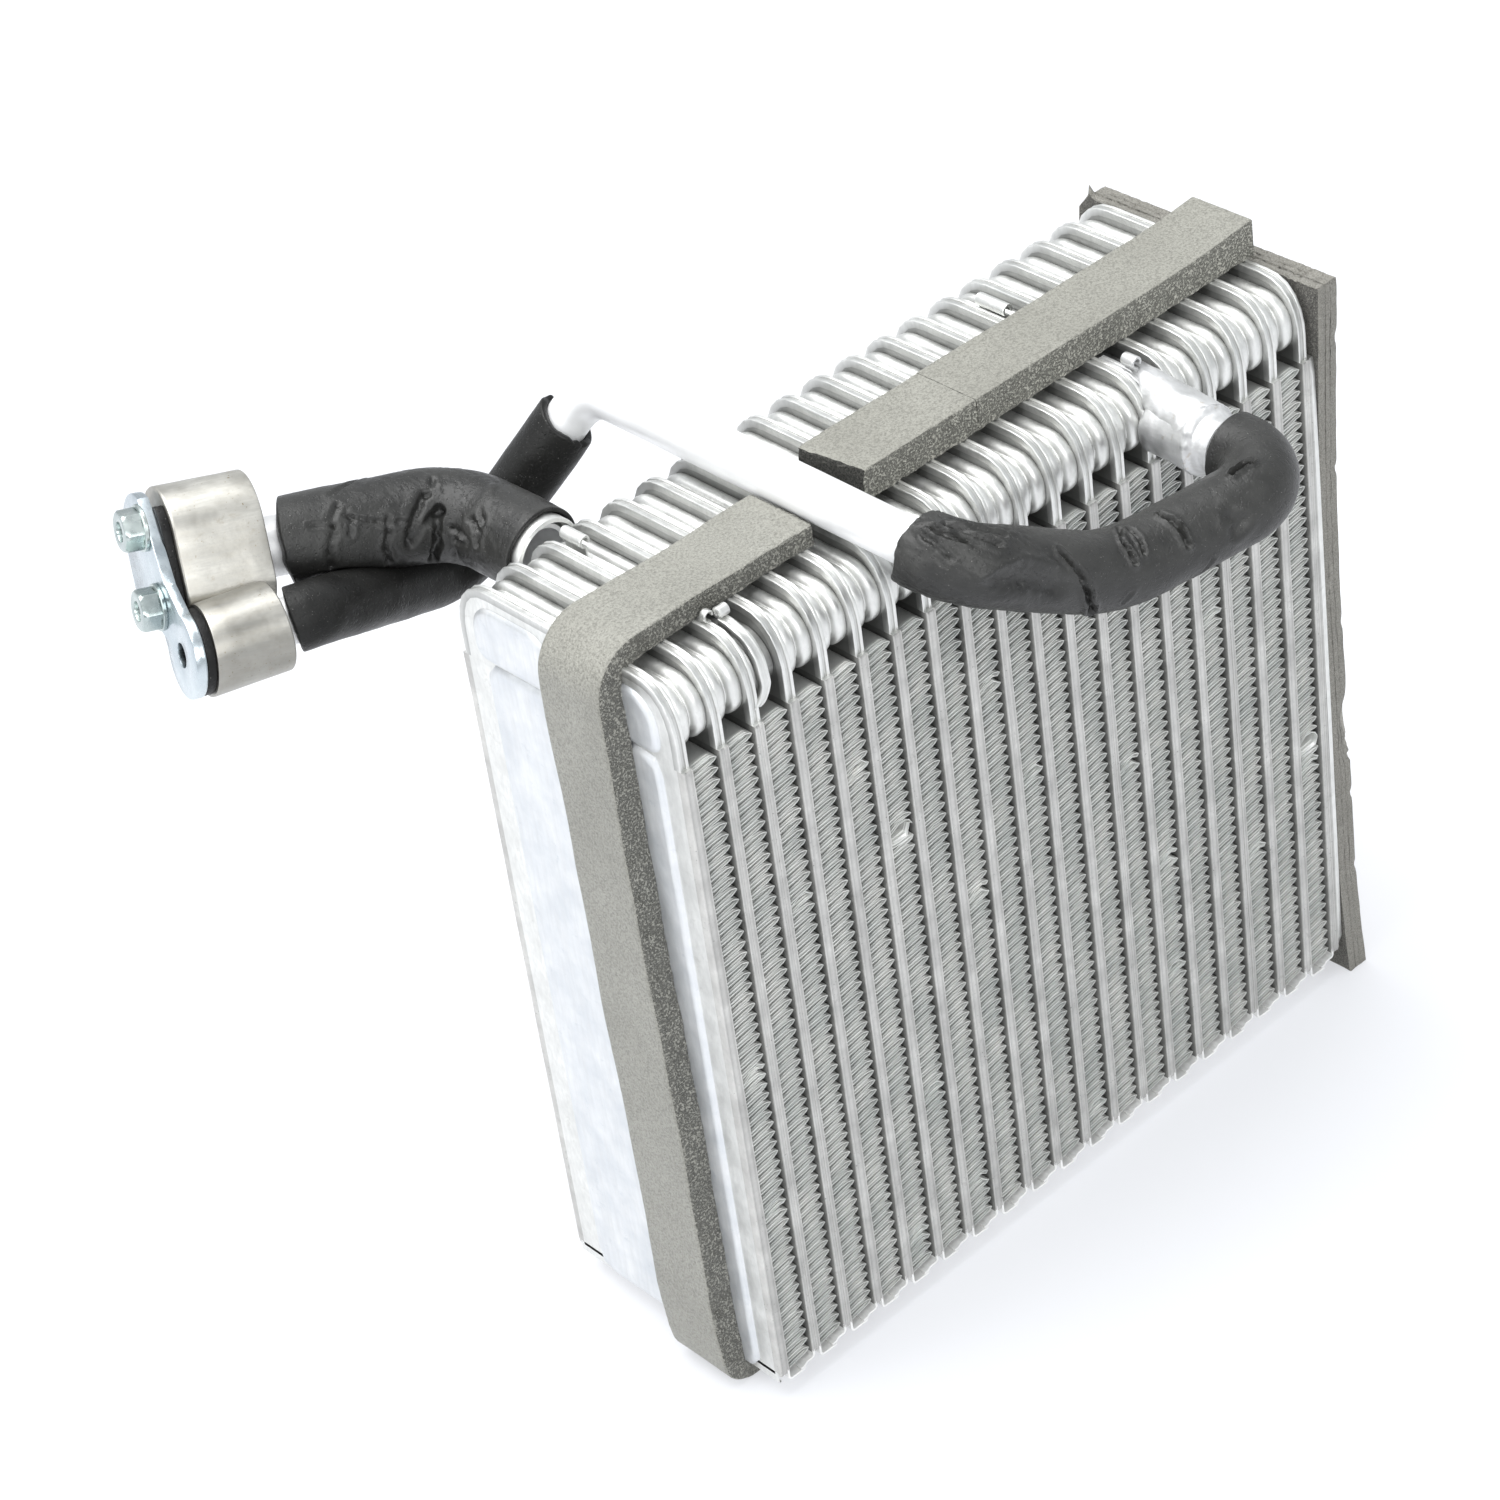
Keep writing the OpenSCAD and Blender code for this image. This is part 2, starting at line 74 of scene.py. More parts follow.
class G:
    """small helper to wire nodes"""

    def __init__(self, nt):
        self.nt = nt
        tc = nt.nodes.new("ShaderNodeTexCoord")
        self.obj = tc.outputs["Object"]

    def link(self, a, b):
        self.nt.links.new(a, b)

    def scaled(self, sx, sy, sz):
        n = self.nt.nodes.new("ShaderNodeMapping")
        n.inputs["Scale"].default_value = (sx, sy, sz)
        self.link(self.obj, n.inputs["Vector"])
        return n.outputs[0]

    def along(self, a, b, c):
        """texture space whose third axis runs along the grain, compressed so that marks are drawn out that way"""
        comb = self.nt.nodes.new("ShaderNodeCombineXYZ")
        for k, (d, s) in enumerate(((a, 1.0), (b, 1.0), (c, 0.1))):
            n = self.nt.nodes.new("ShaderNodeVectorMath")
            n.operation = "DOT_PRODUCT"
            self.link(self.obj, n.inputs[0])
            n.inputs[1].default_value = tuple(float(q) * s for q in d)
            self.link(n.outputs["Value"], comb.inputs[k])
        return comb.outputs[0]

    def noise(self, scale, detail=3.0, rough=0.55, vec=None, dist=0.0):
        n = self.nt.nodes.new("ShaderNodeTexNoise")
        n.inputs["Scale"].default_value = scale
        n.inputs["Detail"].default_value = detail
        n.inputs["Roughness"].default_value = rough
        n.inputs["Distortion"].default_value = dist
        self.link(vec if vec is not None else self.obj, n.inputs["Vector"])
        return n.outputs["Fac"]

    def voronoi(self, scale, feature="F1", vec=None, rand=1.0):
        n = self.nt.nodes.new("ShaderNodeTexVoronoi")
        n.feature = feature
        n.inputs["Scale"].default_value = scale
        n.inputs["Randomness"].default_value = rand
        self.link(vec if vec is not None else self.obj, n.inputs["Vector"])
        return n.outputs["Distance"]

    def ramp(self, fac, stops):
        n = self.nt.nodes.new("ShaderNodeValToRGB")
        el = n.color_ramp.elements
        while len(el) < len(stops):
            el.new(0.5)
        for e, (pos, col) in zip(el, stops):
            e.position = pos
            c = col if hasattr(col, "__len__") else (col, col, col)
            e.color = (*c[:3], 1.0)
        self.link(fac, n.inputs[0])
        return n.outputs[0]

    def maprange(self, fac, a, b, c, d):
        n = self.nt.nodes.new("ShaderNodeMapRange")
        for k, v in zip(("From Min", "From Max", "To Min", "To Max"), (a, b, c, d)):
            n.inputs[k].default_value = v
        self.link(fac, n.inputs["Value"])
        return n.outputs[0]

    def math(self, op, a, b):
        n = self.nt.nodes.new("ShaderNodeMath")
        n.operation = op
        for i, v in enumerate((a, b)):
            if isinstance(v, (int, float)):
                n.inputs[i].default_value = v
            else:
                self.link(v, n.inputs[i])
        return n.outputs[0]

    def mix(self, fac, a, b, mode="MIX"):
        n = self.nt.nodes.new("ShaderNodeMix")
        n.data_type = "RGBA"
        n.blend_type = mode
        if isinstance(fac, (int, float)):
            n.inputs[0].default_value = fac
        else:
            self.link(fac, n.inputs[0])
        for i, v in ((6, a), (7, b)):
            if isinstance(v, tuple):
                n.inputs[i].default_value = (*v[:3], 1.0)
            else:
                self.link(v, n.inputs[i])
        return n.outputs[2]

    def attr(self, name):
        n = self.nt.nodes.new("ShaderNodeAttribute")
        n.attribute_name = name
        return n.outputs["Fac"], n.outputs["Color"]

    def bump(self, height, dist, strength=1.0, normal=None):
        n = self.nt.nodes.new("ShaderNodeBump")
        n.inputs["Distance"].default_value = dist
        n.inputs["Strength"].default_value = strength
        self.link(height, n.inputs["Height"])
        if normal is not None:
            self.link(normal, n.inputs["Normal"])
        return n.outputs[0]


def metal(name, base, dark, rough=(0.3, 0.5), metallic=1.0, streak=(1, 1, 1), bump=0.00003,
          speck=None, mottled=0.35, stain=None, tint_and_shade=True, fine_scale=700):
    """satin aluminium or zinc: cloudy colour, rolling streaks, small specks; a per-vertex mask darkens the colour,
    mostly as painted shade, in places as real flux stain
    """
    m, nt, b = new_mat(name)
    g = G(nt)
    v = g.along(*GRAIN) if streak is None else g.scaled(*streak)
    cloud = g.noise(90, 4, 0.6)
    fine = g.noise(fine_scale, 3, 0.6, v)
    lines = g.noise(260, 2, 0.5, v)
    c = g.mix(g.ramp(cloud, [(0.33, 0.0), (0.72, 1.0)]), dark, base)
    c = g.mix(g.math("MULTIPLY", g.ramp(fine, [(0.4, 0.0), (0.75, 1.0)]), mottled), c, tuple(x * 0.72 for x in base))
    if speck is not None:
        s = g.ramp(g.noise(1500, 2, 0.5), [(0.66, 0.0), (0.72, 1.0)])
        big = g.ramp(g.noise(120, 3, 0.6), [(0.45, 0.0), (0.62, 1.0)])
        c = g.mix(g.math("MULTIPLY", g.math("MULTIPLY", s, big), 0.8), c, speck)
    if stain is not None:
        s = g.ramp(g.noise(210, 5, 0.72, None, 0.4), [(0.6, 0.0), (0.74, 1.0)])
        c = g.mix(g.math("MULTIPLY", s, 0.55), c, stain)
    # painted shade in recesses, gaps and on faces that look down or away, and real flux stain on the inlet hood: the
    # per-vertex mask darkens towards a sixth of the base colour
    if tint_and_shade:
        f, _ = g.attr("tint_and_shade")
        c = g.mix(f, c, tuple(x * 0.16 for x in base))
    g.link(c, b.inputs["Base Color"])
    g.link(g.maprange(g.math("ADD", g.math("MULTIPLY", cloud, 0.5), g.math("MULTIPLY", lines, 0.5)), 0.35, 0.65, *rough), b.inputs["Roughness"])
    b.inputs["Metallic"].default_value = metallic
    h = g.math("ADD", g.math("MULTIPLY", lines, 0.6), g.math("MULTIPLY", fine, 0.4))
    n1 = g.bump(cloud, bump * 14, 0.35)
    g.link(g.bump(h, bump * 3, 0.6, n1), b.inputs["Normal"])
    return m


def foam(name, base, dark, light, pore=2300, rough=0.9, depth=0.00022, cut=0.78):
    m, nt, b = new_mat(name)
    g = G(nt)
    big = g.noise(45, 4, 0.6)
    grain = g.noise(pore, 4, 0.75)
    cells = g.voronoi(pore * 1.15)
    c = g.mix(g.ramp(big, [(0.3, 0.0), (0.7, 1.0)]), base, light)
    c = g.mix(g.ramp(grain, [(0.38, 0.75), (0.56, 0.0)]), c, dark)
    # the per-vertex mask turns the colour to the cut colour: on the cut faces, and as painted shade on the pad's inner
    # end face
    f, _ = g.attr("cut")
    holes = g.ramp(g.noise(pore * 1.15, 3, 0.75), [(0.44, 1.0), (0.54, 0.0)])
    cutcol = g.mix(g.math("MULTIPLY", holes, 0.8), tuple(x * cut for x in base), tuple(x * cut * 0.24 for x in base))
    c = g.mix(f, c, cutcol)
    g.link(c, b.inputs["Base Color"])
    g.link(g.maprange(g.noise(220, 4, 0.6), 0.3, 0.7, rough - 0.12, rough), b.inputs["Roughness"])
    b.inputs["Specular IOR Level"].default_value = 0.5
    h = g.math("ADD", g.math("MULTIPLY", grain, 0.7), g.math("MULTIPLY", cells, 0.5))
    deep = g.math("MULTIPLY", g.math("MULTIPLY", holes, f), -4.5)
    g.link(g.bump(g.math("ADD", h, deep), depth, 0.85), b.inputs["Normal"])
    return m


def dark_foam(name, base, light, spec_level=0.42):
    """smooth-skinned closed-cell sleeve, with chalky scuffs"""
    m, nt, b = new_mat(name)
    g = G(nt)
    cloud = g.noise(60, 5, 0.65)
    fine = g.noise(1300, 3, 0.6)
    scuff = g.noise(420, 5, 0.8, g.scaled(1, 1, 0.35), 0.6)
    c = g.mix(g.ramp(cloud, [(0.35, 0.0), (0.72, 1.0)]), base, light)
    c = g.mix(g.math("MULTIPLY", g.ramp(scuff, [(0.62, 0.0), (0.8, 1.0)]), 0.35), c, tuple(min(1, x * 3.2) for x in light))
    spec = g.ramp(g.noise(2300, 1, 0.5), [(0.74, 0.0), (0.78, 1.0)])
    c = g.mix(g.math("MULTIPLY", spec, 0.5), c, (0.34, 0.33, 0.31))
    # the per-vertex mask darkens the colour: on the cut rims and in the bores, and as painted shade on the underside of
    # the sleeves
    f, _ = g.attr("cut")
    c = g.mix(f, c, tuple(x * 0.45 for x in base))
    g.link(c, b.inputs["Base Color"])
    g.link(g.maprange(g.math("ADD", g.math("MULTIPLY", cloud, 0.6), g.math("MULTIPLY", fine, 0.4)), 0.35, 0.65, 0.33, 0.52), b.inputs["Roughness"])
    b.inputs["Specular IOR Level"].default_value = spec_level
    n1 = g.bump(g.noise(170, 4, 0.6), 0.0006, 0.4)
    pit = g.ramp(g.noise(900, 2, 0.5), [(0.30, 0.0), (0.42, 1.0)])
    n2 = g.bump(pit, 0.0002, 0.5, n1)
    g.link(g.bump(fine, 0.00016, 0.6, n2), b.inputs["Normal"])
    return m


# the way the port block was drawn: across, across, along
GRAIN = ((-0.2921, -0.4626, -0.8371), (-0.1586, -0.8397, 0.5194), (0.9431, -0.2845, -0.1719))
M_PLATE = metal("plate_alloy", (0.86, 0.865, 0.845), (0.69, 0.695, 0.675), (0.34, 0.52), metallic=0.9, streak=(1, 1, 0.4), mottled=0.62, stain=(0.54, 0.54, 0.51), bump=0.00003)
# the pressed panels of the left end sheet get a darker, bluer tone than the plates: painted shade
M_END_SHADED = metal("end_sheet_alloy_shaded", (0.80, 0.81, 0.815), (0.64, 0.665, 0.69), (0.42, 0.58), metallic=0.8, streak=(1, 1, 0.12), mottled=0.35, stain=(0.50, 0.54, 0.58), bump=0.00004)
M_FOOT = metal("sheet_edge_alloy", (0.97, 0.97, 0.95), (0.80, 0.80, 0.785), (0.4, 0.55), metallic=0.3, mottled=0.2, bump=0.00003)
M_TUBE = metal("tube_edge_alloy", (0.74, 0.735, 0.71), (0.46, 0.455, 0.44), (0.45, 0.62), metallic=0.75, streak=(1, 1, 0.5), mottled=0.5, speck=(0.10, 0.10, 0.095), stain=(0.34, 0.335, 0.32), bump=0.00008, fine_scale=1500)
M_FIN = metal("fin_alloy", (0.985, 0.985, 0.95), (0.80, 0.825, 0.80), (0.3, 0.5), metallic=0.45, streak=(0.3, 1, 1), mottled=0.2, bump=0.00002)
M_PIPE = metal("pipe_alloy", (0.97, 0.975, 0.98), (0.93, 0.935, 0.94), (0.34, 0.5), metallic=0.35, streak=(1, 0.2, 1), mottled=0.06, bump=0.00001)
M_BLOCK = metal("block_alloy", (0.585, 0.575, 0.535), (0.36, 0.345, 0.305), (0.30, 0.5), metallic=0.9, streak=None, mottled=0.85, speck=(0.20, 0.145, 0.06), stain=(0.30, 0.25, 0.175), bump=0.00003, fine_scale=1500)
M_ZINC = metal("zinc_steel", (0.68, 0.74, 0.765), (0.44, 0.5, 0.54), (0.16, 0.4), mottled=0.3, stain=(0.42, 0.47, 0.5), bump=0.00001)
M_TORN = foam("torn_foam", (0.20, 0.197, 0.172), (0.12, 0.118, 0.10), (0.22, 0.216, 0.19), 1700, 0.8, 0.0006, 0.42)
M_STRIP = foam("strip_foam", (0.262, 0.258, 0.226), (0.135, 0.132, 0.114), (0.315, 0.311, 0.275), 1400, 0.62, 0.00042, 1.85)
M_TAPE = foam("tape_foam", (0.268, 0.264, 0.232), (0.14, 0.137, 0.119), (0.325, 0.321, 0.285), 1400, 0.44, 0.00045, 1.15)
M_PAD = foam("pad_foam", (0.36, 0.348, 0.312), (0.20, 0.192, 0.168), (0.43, 0.415, 0.375), 2000, 0.9, 0.00025, 0.55)
M_SLEEVE = dark_foam("sleeve_foam", (0.0135, 0.0135, 0.0127), (0.036, 0.036, 0.0335), 0.48)
M_SLEEVE_B = dark_foam("sleeve_foam_shade", (0.0075, 0.0075, 0.007), (0.017, 0.017, 0.016), 0.3)
M_SEAL = dark_foam("seal_rubber", (0.004, 0.004, 0.004), (0.008, 0.008, 0.008), 0.25)


# ---------------------------------------------------------------- meshes
def mesh(name, verts, faces, mat, replaces=(), sharp=40, attrs=None, mats=None, midx=None, ride=True):
    """verts in part millimetres; faces any polygons; attrs {name: one number per vertex}"""
    me = bpy.data.meshes.new(name)
    v = row(verts)
    me.from_pydata(v.tolist(), [], [tuple(int(i) for i in f) for f in faces])
    me.validate()
    for m in (mats or [mat]):
        me.materials.append(m)
    if midx is not None:
        me.polygons.foreach_set("material_index", np.asarray(midx, np.int32))
    for k, a in (attrs or {}).items():
        at = me.attributes.new(k, "FLOAT", "POINT")
        at.data.foreach_set("value", np.asarray(a, np.float32))
    me.shade_smooth()
    if sharp is not None:
        me.set_sharp_from_angle(angle=math.radians(sharp))
    me.update()
    o = bpy.data.objects.new(name, me)
    bpy.context.scene.collection.objects.link(o)
    if ride:
        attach(o, "root")
    if replaces:
        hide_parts(*replaces)
    return o


class Soup:
    """collects vertices, faces, attributes and material indices of one mesh"""

    def __init__(self):
        self.v, self.f, self.m, self.a = [], [], [], []
        self.n = 0

    def add(self, verts, faces, mi=0, tint_and_shade=0.0):
        verts = np.asarray(verts, float)
        self.v.append(verts)
        for f in faces:
            self.f.append(tuple(int(i) + self.n for i in f))
            self.m.append(mi)
        d = np.full(len(verts), tint_and_shade) if np.isscalar(tint_and_shade) else np.asarray(tint_and_shade, float)
        self.a.append(d)
        self.n += len(verts)

    def grid(self, g, close_u=False, close_v=False, mi=0, tint_and_shade=0.0, flip=False):
        """g is (nu, nv, 3)"""
        nu, nv = g.shape[:2]
        f = []
        for i in range(nu if close_u else nu - 1):
            i2 = (i + 1) % nu
            for j in range(nv if close_v else nv - 1):
                j2 = (j + 1) % nv
                q = (i * nv + j, i2 * nv + j, i2 * nv + j2, i * nv + j2)
                f.append(q[::-1] if flip else q)
        d = tint_and_shade if np.isscalar(tint_and_shade) else np.asarray(tint_and_shade, float).reshape(-1)
        self.add(g.reshape(-1, 3), f, mi, d)

    def cap(self, loop, mi=0, tint_and_shade=0.0, flip=False):
        n = len(loop)
        f = tuple(range(n))
        self.add(loop, [f[::-1] if flip else f], mi, tint_and_shade)

    def out(self, name, mats, slot, replaces=(), sharp=40, key="tint_and_shade"):
        return mesh(name, np.concatenate(self.v), self.f, None, replaces, sharp,
                    {key: np.concatenate(self.a)}, mats, self.m)

# ---------------------------------------------------------------- plates
def arcp(cx, cz, r, a0, a1, n):
    a = np.radians(np.linspace(a0, a1, n + 1))
    return np.stack([cx + r * np.cos(a), cz + r * np.sin(a)], 1)


def rr_loop(y0, y1, z0, z1, rt, rb, n=7):
    """rounded rectangle, starts at the lower left corner and runs counter-clockwise"""
    return np.concatenate([arcp(y0 + rb, z0 + rb, rb, 180, 270, n), arcp(y1 - rb, z0 + rb, rb, 270, 360, n),
                           arcp(y1 - rt, z1 - rt, rt, 0, 90, n), arcp(y0 + rt, z1 - rt, rt, 90, 180, n)])


def to3(loop, x):
    loop = np.asarray(loop, float)
    return np.column_stack([np.full(len(loop), x), loop[:, 0], loop[:, 1]])


def resample(loop, n):
    """closed loop to n points by length"""
    p = np.vstack([loop, loop[:1]])
    d = np.r_[0, np.cumsum(np.linalg.norm(np.diff(p, axis=0), axis=1))]
    t = np.linspace(0, d[-1], n, endpoint=False)
    return np.column_stack([np.interp(t, d, p[:, k]) for k in range(p.shape[1])])


def wob(r, n, amp, waves):
    """smooth closed random ripple of n samples"""
    t = np.linspace(0, 2 * np.pi, n, endpoint=False)
    s = np.zeros(n)
    for k in waves:
        s += r.normal() * np.cos(k * t + r.uniform(0, 6.28)) / math.sqrt(k)
    return amp * s / max(1e-9, np.abs(s).max())


# flange outline measured on the left plate, front half, then mirrored
EDGE = [(1.25, 211.0), (1.25, 214.0), (1.25, 218.5), (1.45, 222.0), (2.35, 226.2), (4.15, 230.0), (6.9, 232.9), (10.3, 234.5), (14.25, 235.0)]


def plate_outline(s):
    """top part of a plate above the fins, inset by s; open polyline front to rear"""
    e = np.array(EDGE)
    # inset towards the inside using the local normal
    t = np.gradient(e, axis=0)
    nrm = np.column_stack([t[:, 1], -t[:, 0]])
    nrm /= np.linalg.norm(nrm, axis=1)[:, None]
    e = e + nrm * s
    e[0, 1] = e[1, 1] - 3.0
    m = e[::-1].copy()
    m[:, 0] = D - m[:, 0]
    top = np.column_stack([np.linspace(e[-1, 0], m[0, 0], 12)[1:-1], np.full(10, e[-1, 1])])
    return np.vstack([e, top, m])


def plate_head(s, r, jig):
    """flange: two lips with a fine groove between them, closed above the fins"""
    # cross-section in x: outer face of the left lip, groove, outer face of the right lip
    prof = [(-1.58, 2.2), (-1.6, 0.5), (-1.52, 0.12), (-1.36, 0.0), (-0.74, 0.0), (-0.56, 0.1), (-0.46, 0.42),
            (0.46, 0.42), (0.56, 0.1), (0.74, 0.0), (1.36, 0.0), (1.52, 0.12), (1.6, 0.5), (1.58, 2.2)]
    rows, tint_and_shade = [], []
    n0 = None
    for x, ins in prof:
        o = plate_outline(ins)
        n0 = len(o)
        w = jig[:n0]
        g = to3(o, x)
        g[:, 0] += w[:, 0] * (1.0 if abs(x) < 1.55 else 0.2)
        rows.append(g)
        # painted shade: darker in the groove between the lips, on the lip sides, and most on the flanks that face the
        # neighbouring plate
        tint_and_shade.append(np.full(n0, 0.22 if ins > 0.4 and abs(x) < 0.5 else (0.5 if ins > 2 else (0.2 if ins >= 0.5 else 0.0))))
    return np.array(rows), np.array(tint_and_shade)


def cup_side(sgn, front, r, y_open=True):
    """one drawn tank cup on one side of a plate: flange fold, bulge and rim at the middle seam"""
    n = 9
    # (x, y0, y1, z0, z1, r top, r bottom)
    st = [(1.58, 4.2, 39.4, 213.6, 230.0, 8.0, 6.0),
          (1.62, 3.3, 39.9, 213.4, 230.6, 8.6, 6.5),
          (1.95, 3.02, 40.1, 213.2, 230.95, 9.0, 6.8),
          (2.7, 2.82, 40.22, 213.12, 231.35, 9.2, 7.0),
          (3.6, 2.74, 40.26, 213.1, 231.45, 9.2, 7.0),
          (4.4, 2.9, 40.2, 213.15, 231.35, 9.2, 7.0),
          (5.0, 3.4, 39.8, 213.5, 231.0, 9.0, 7.0),
          (5.35, 4.05, 39.1, 214.0, 230.6, 8.7, 7.0),
          (5.55, 4.5, 38.6, 214.4, 230.35, 8.6, 7.0),
          (5.72, 4.42, 38.6, 214.5, 230.42, 8.6, 7.0),
          (5.96, 4.5, 38.5, 214.6, 230.35, 8.6, 7.0),
          (5.97, 6.0, 37.0, 216.1, 228.9, 6.6, 5.8)]
    ph = r.uniform(0, 6.28, 4)
    rows, tint_and_shade = [], []
    for x, y0, y1, z0, z1, rt, rb in st:
        if not front:
            y0, y1 = D - y1, D - y0
        l = rr_loop(y0, y1, z0, z1, rt, rb, n)
        g = to3(l, sgn * x)
        # slight press wrinkles of the drawn sheet
        a = np.arctan2(l[:, 1] - 222, l[:, 0] - (y0 + y1) / 2)
        k = math.sin(math.pi * min(1, max(0, (x - 1.6) / 4.2)))
        off = -0.06 * k * (1 + np.sin(3 * a + ph[0]) * 0.8 + np.sin(7 * a + ph[1]) * 0.4)
        c = np.array([(y0 + y1) / 2, (z0 + z1) / 2])
        dv = l - c
        dv /= np.linalg.norm(dv, axis=1)[:, None]
        g[:, 1:] += dv * off[:, None]
        rows.append(g)
        # painted shade in the fold beside the flange, fading towards the top of the cup and deepest along its lower
        # edge above the fins; a darker line at the middle seam
        base = 0.45 if x < 1.6 else (0.28 if x < 1.7 else (0.05 if x < 2.0 else (0.15 if 5.3 < x < 5.8 else 0.0)))
        base *= np.clip((231.0 - l[:, 1]) / 7.0, 0.1, 1.0)
        painted_low_shade = np.clip((215.6 - l[:, 1]) / 2.4, 0, 1) * 0.8
        tint_and_shade.append(np.clip(base + painted_low_shade, 0, 0.9))
    return np.array(rows), np.array(tint_and_shade)


def tube_strip(sp, r, z1=211.0, unshaded=()):
    """flat tube below the tanks: two sheets with rounded front and rear edges and a seam line"""
    nz = 46
    zz = np.r_[3.1, np.linspace(4.5, z1 - 1.2, nz - 3), z1 - 0.35, z1]
    hx = 1.6
    # half section, front: from the flat face round the lip to the seam groove
    seam = 0.14 + 0.28 * max(0.0, r.uniform(-1.2, 1.0))
    sec = [(-hx, 2.6), (-hx, 0.6), (-1.5, 0.14), (-1.36, 0.0), (-1.16, 0.02), (-0.96, 0.14), (-0.2, 0.14), (0.0, seam),
           (0.2, 0.14), (0.96, 0.14), (1.16, 0.02), (1.36, 0.0), (1.5, 0.14), (hx, 0.6), (hx, 2.6)]
    ph = r.uniform(0, 6.28, 6)
    for side in (0, 1):
        rows, tint_and_shade = [], []
        for j, (sx, sy) in enumerate(sec):
            w = 0.05 * np.sin(zz / 23 + ph[0]) + 0.03 * np.sin(zz / 7 + ph[1])
            dent = 0.06 * np.maximum(0, np.sin(zz / 11 + ph[2 + side]) + 0.5 * np.sin(zz / 3.7 + ph[4]) - 0.6)
            k = 1.0 if sy < 0.55 else 0.0
            yy = sy + k * dent + np.where(zz > z1 - 0.3, 0.25 * k, 0) + np.where(zz < 4, 0.3 * k, 0)
            xx = np.clip(sx * (1 - 0.06 * (zz < 4)) + w * k, -1.6, 1.6)
            Y = yy if side == 0 else D - yy
            rows.append(np.column_stack([xx, Y, zz]))
            # painted shade: darkest on the side walls that run back between the plates, darker in the seam groove the
            # deeper it is, and darker on the right-hand lip than on the left
            tint_and_shade.append(np.full(len(zz), {0: 0.9, 1: 0.5, 5: 0.2, 6: 0.04, 7: 0.06 + 1.2 * (seam - 0.14), 8: 0.04, 9: 0.34, 10: 0.1, 13: 0.5, 14: 0.9}.get(j, 0.0)))
        g = np.array(rows)
        tint_and_shade = np.array(tint_and_shade)
        # the outward sides of the end plates carry no painted shade
        if -1.6 in unshaded:
            tint_and_shade[:2] = 0.0
        if 1.6 in unshaded:
            tint_and_shade[-2:] = 0.0
        sp.grid(g, flip=(side == 0), tint_and_shade=tint_and_shade, mi=1)
        # small shelf on top, from the strip back to the flange
        top = g[:, -1, :]
        back = top.copy()
        back[:, 1] = 2.6 if side == 0 else D - 2.6
        sp.grid(np.array([top, back]), flip=(side == 1), mi=0)
    # flat faces of the tube, painted dark as shade where they face a neighbouring plate
    for sx in (-hx, hx):
        a = np.array([[sx, 2.6, z] for z in zz])
        b = a.copy()
        b[:, 1] = D - 2.6
        g = np.array([a, b])
        sp.grid(g, flip=(sx > 0), mi=0, tint_and_shade=0.0 if sx in unshaded else 0.9)


def head_faces(sp, sx, unshaded=False):
    """flat side face of a plate head, from the flange down to the fins, as a grid, painted dark as shade unless it
    faces outward
    """
    o = plate_outline(2.2)
    n = len(o)
    b = o.copy()
    b[:, 1] = 208.0
    g = np.array([to3(o, sx), to3(b, sx)])
    sp.grid(g, flip=(sx > 0), mi=0, tint_and_shade=0.0 if unshaded else 0.75)


def tabs(sp, left, right, r):
    """bent feet below a plate; the left foot rides over its neighbour's right foot"""
    ny = 15
    yy = np.linspace(0.15, D - 0.15, ny)
    ph = r.uniform(0, 6.28, 3)

    def strip(path, t):
        path = np.asarray(path, float)
        tg = np.gradient(path, axis=0)
        nr = np.column_stack([-tg[:, 1], tg[:, 0]])
        nr /= np.linalg.norm(nr, axis=1)[:, None]
        A, B = path + nr * t / 2, path - nr * t / 2
        loop = np.vstack([A, B[::-1]])
        rows = []
        for y in yy:
            q = loop.copy()
            wave_ = 0.05 * math.sin(y / 9 + ph[0]) + 0.03 * math.sin(y / 3.1 + ph[1])
            q[:, 1] = np.clip(q[:, 1] + wave_ * (q[:, 0] ** 2 > 4), 0.0, 9)
            rows.append(np.column_stack([q[:, 0], np.full(len(q), y), q[:, 1]]))
        g = np.array(rows)
        sp.grid(g, close_v=True, flip=True, mi=3)
        sp.cap(g[0], flip=False, mi=3)
        sp.cap(g[-1], flip=True, mi=3)

    if right:
        a = arcp(2.35, 1.6, 1.15, 180, 270, 5)
        strip(np.vstack([[[1.2, 5.2], [1.2, 3.4]], a, [[5.0, 0.38], [7.12, 0.4]]]), 0.66)
    if left:
        a = arcp(-2.1, 2.95, 0.9, 0, -90, 5)
        strip(np.vstack([[[-1.2, 5.2], [-1.2, 3.9]], a, [[-3.0, 2.05], [-4.1, 2.05], [-4.95, 1.2], [-6.4, 1.16]]]), 0.66)


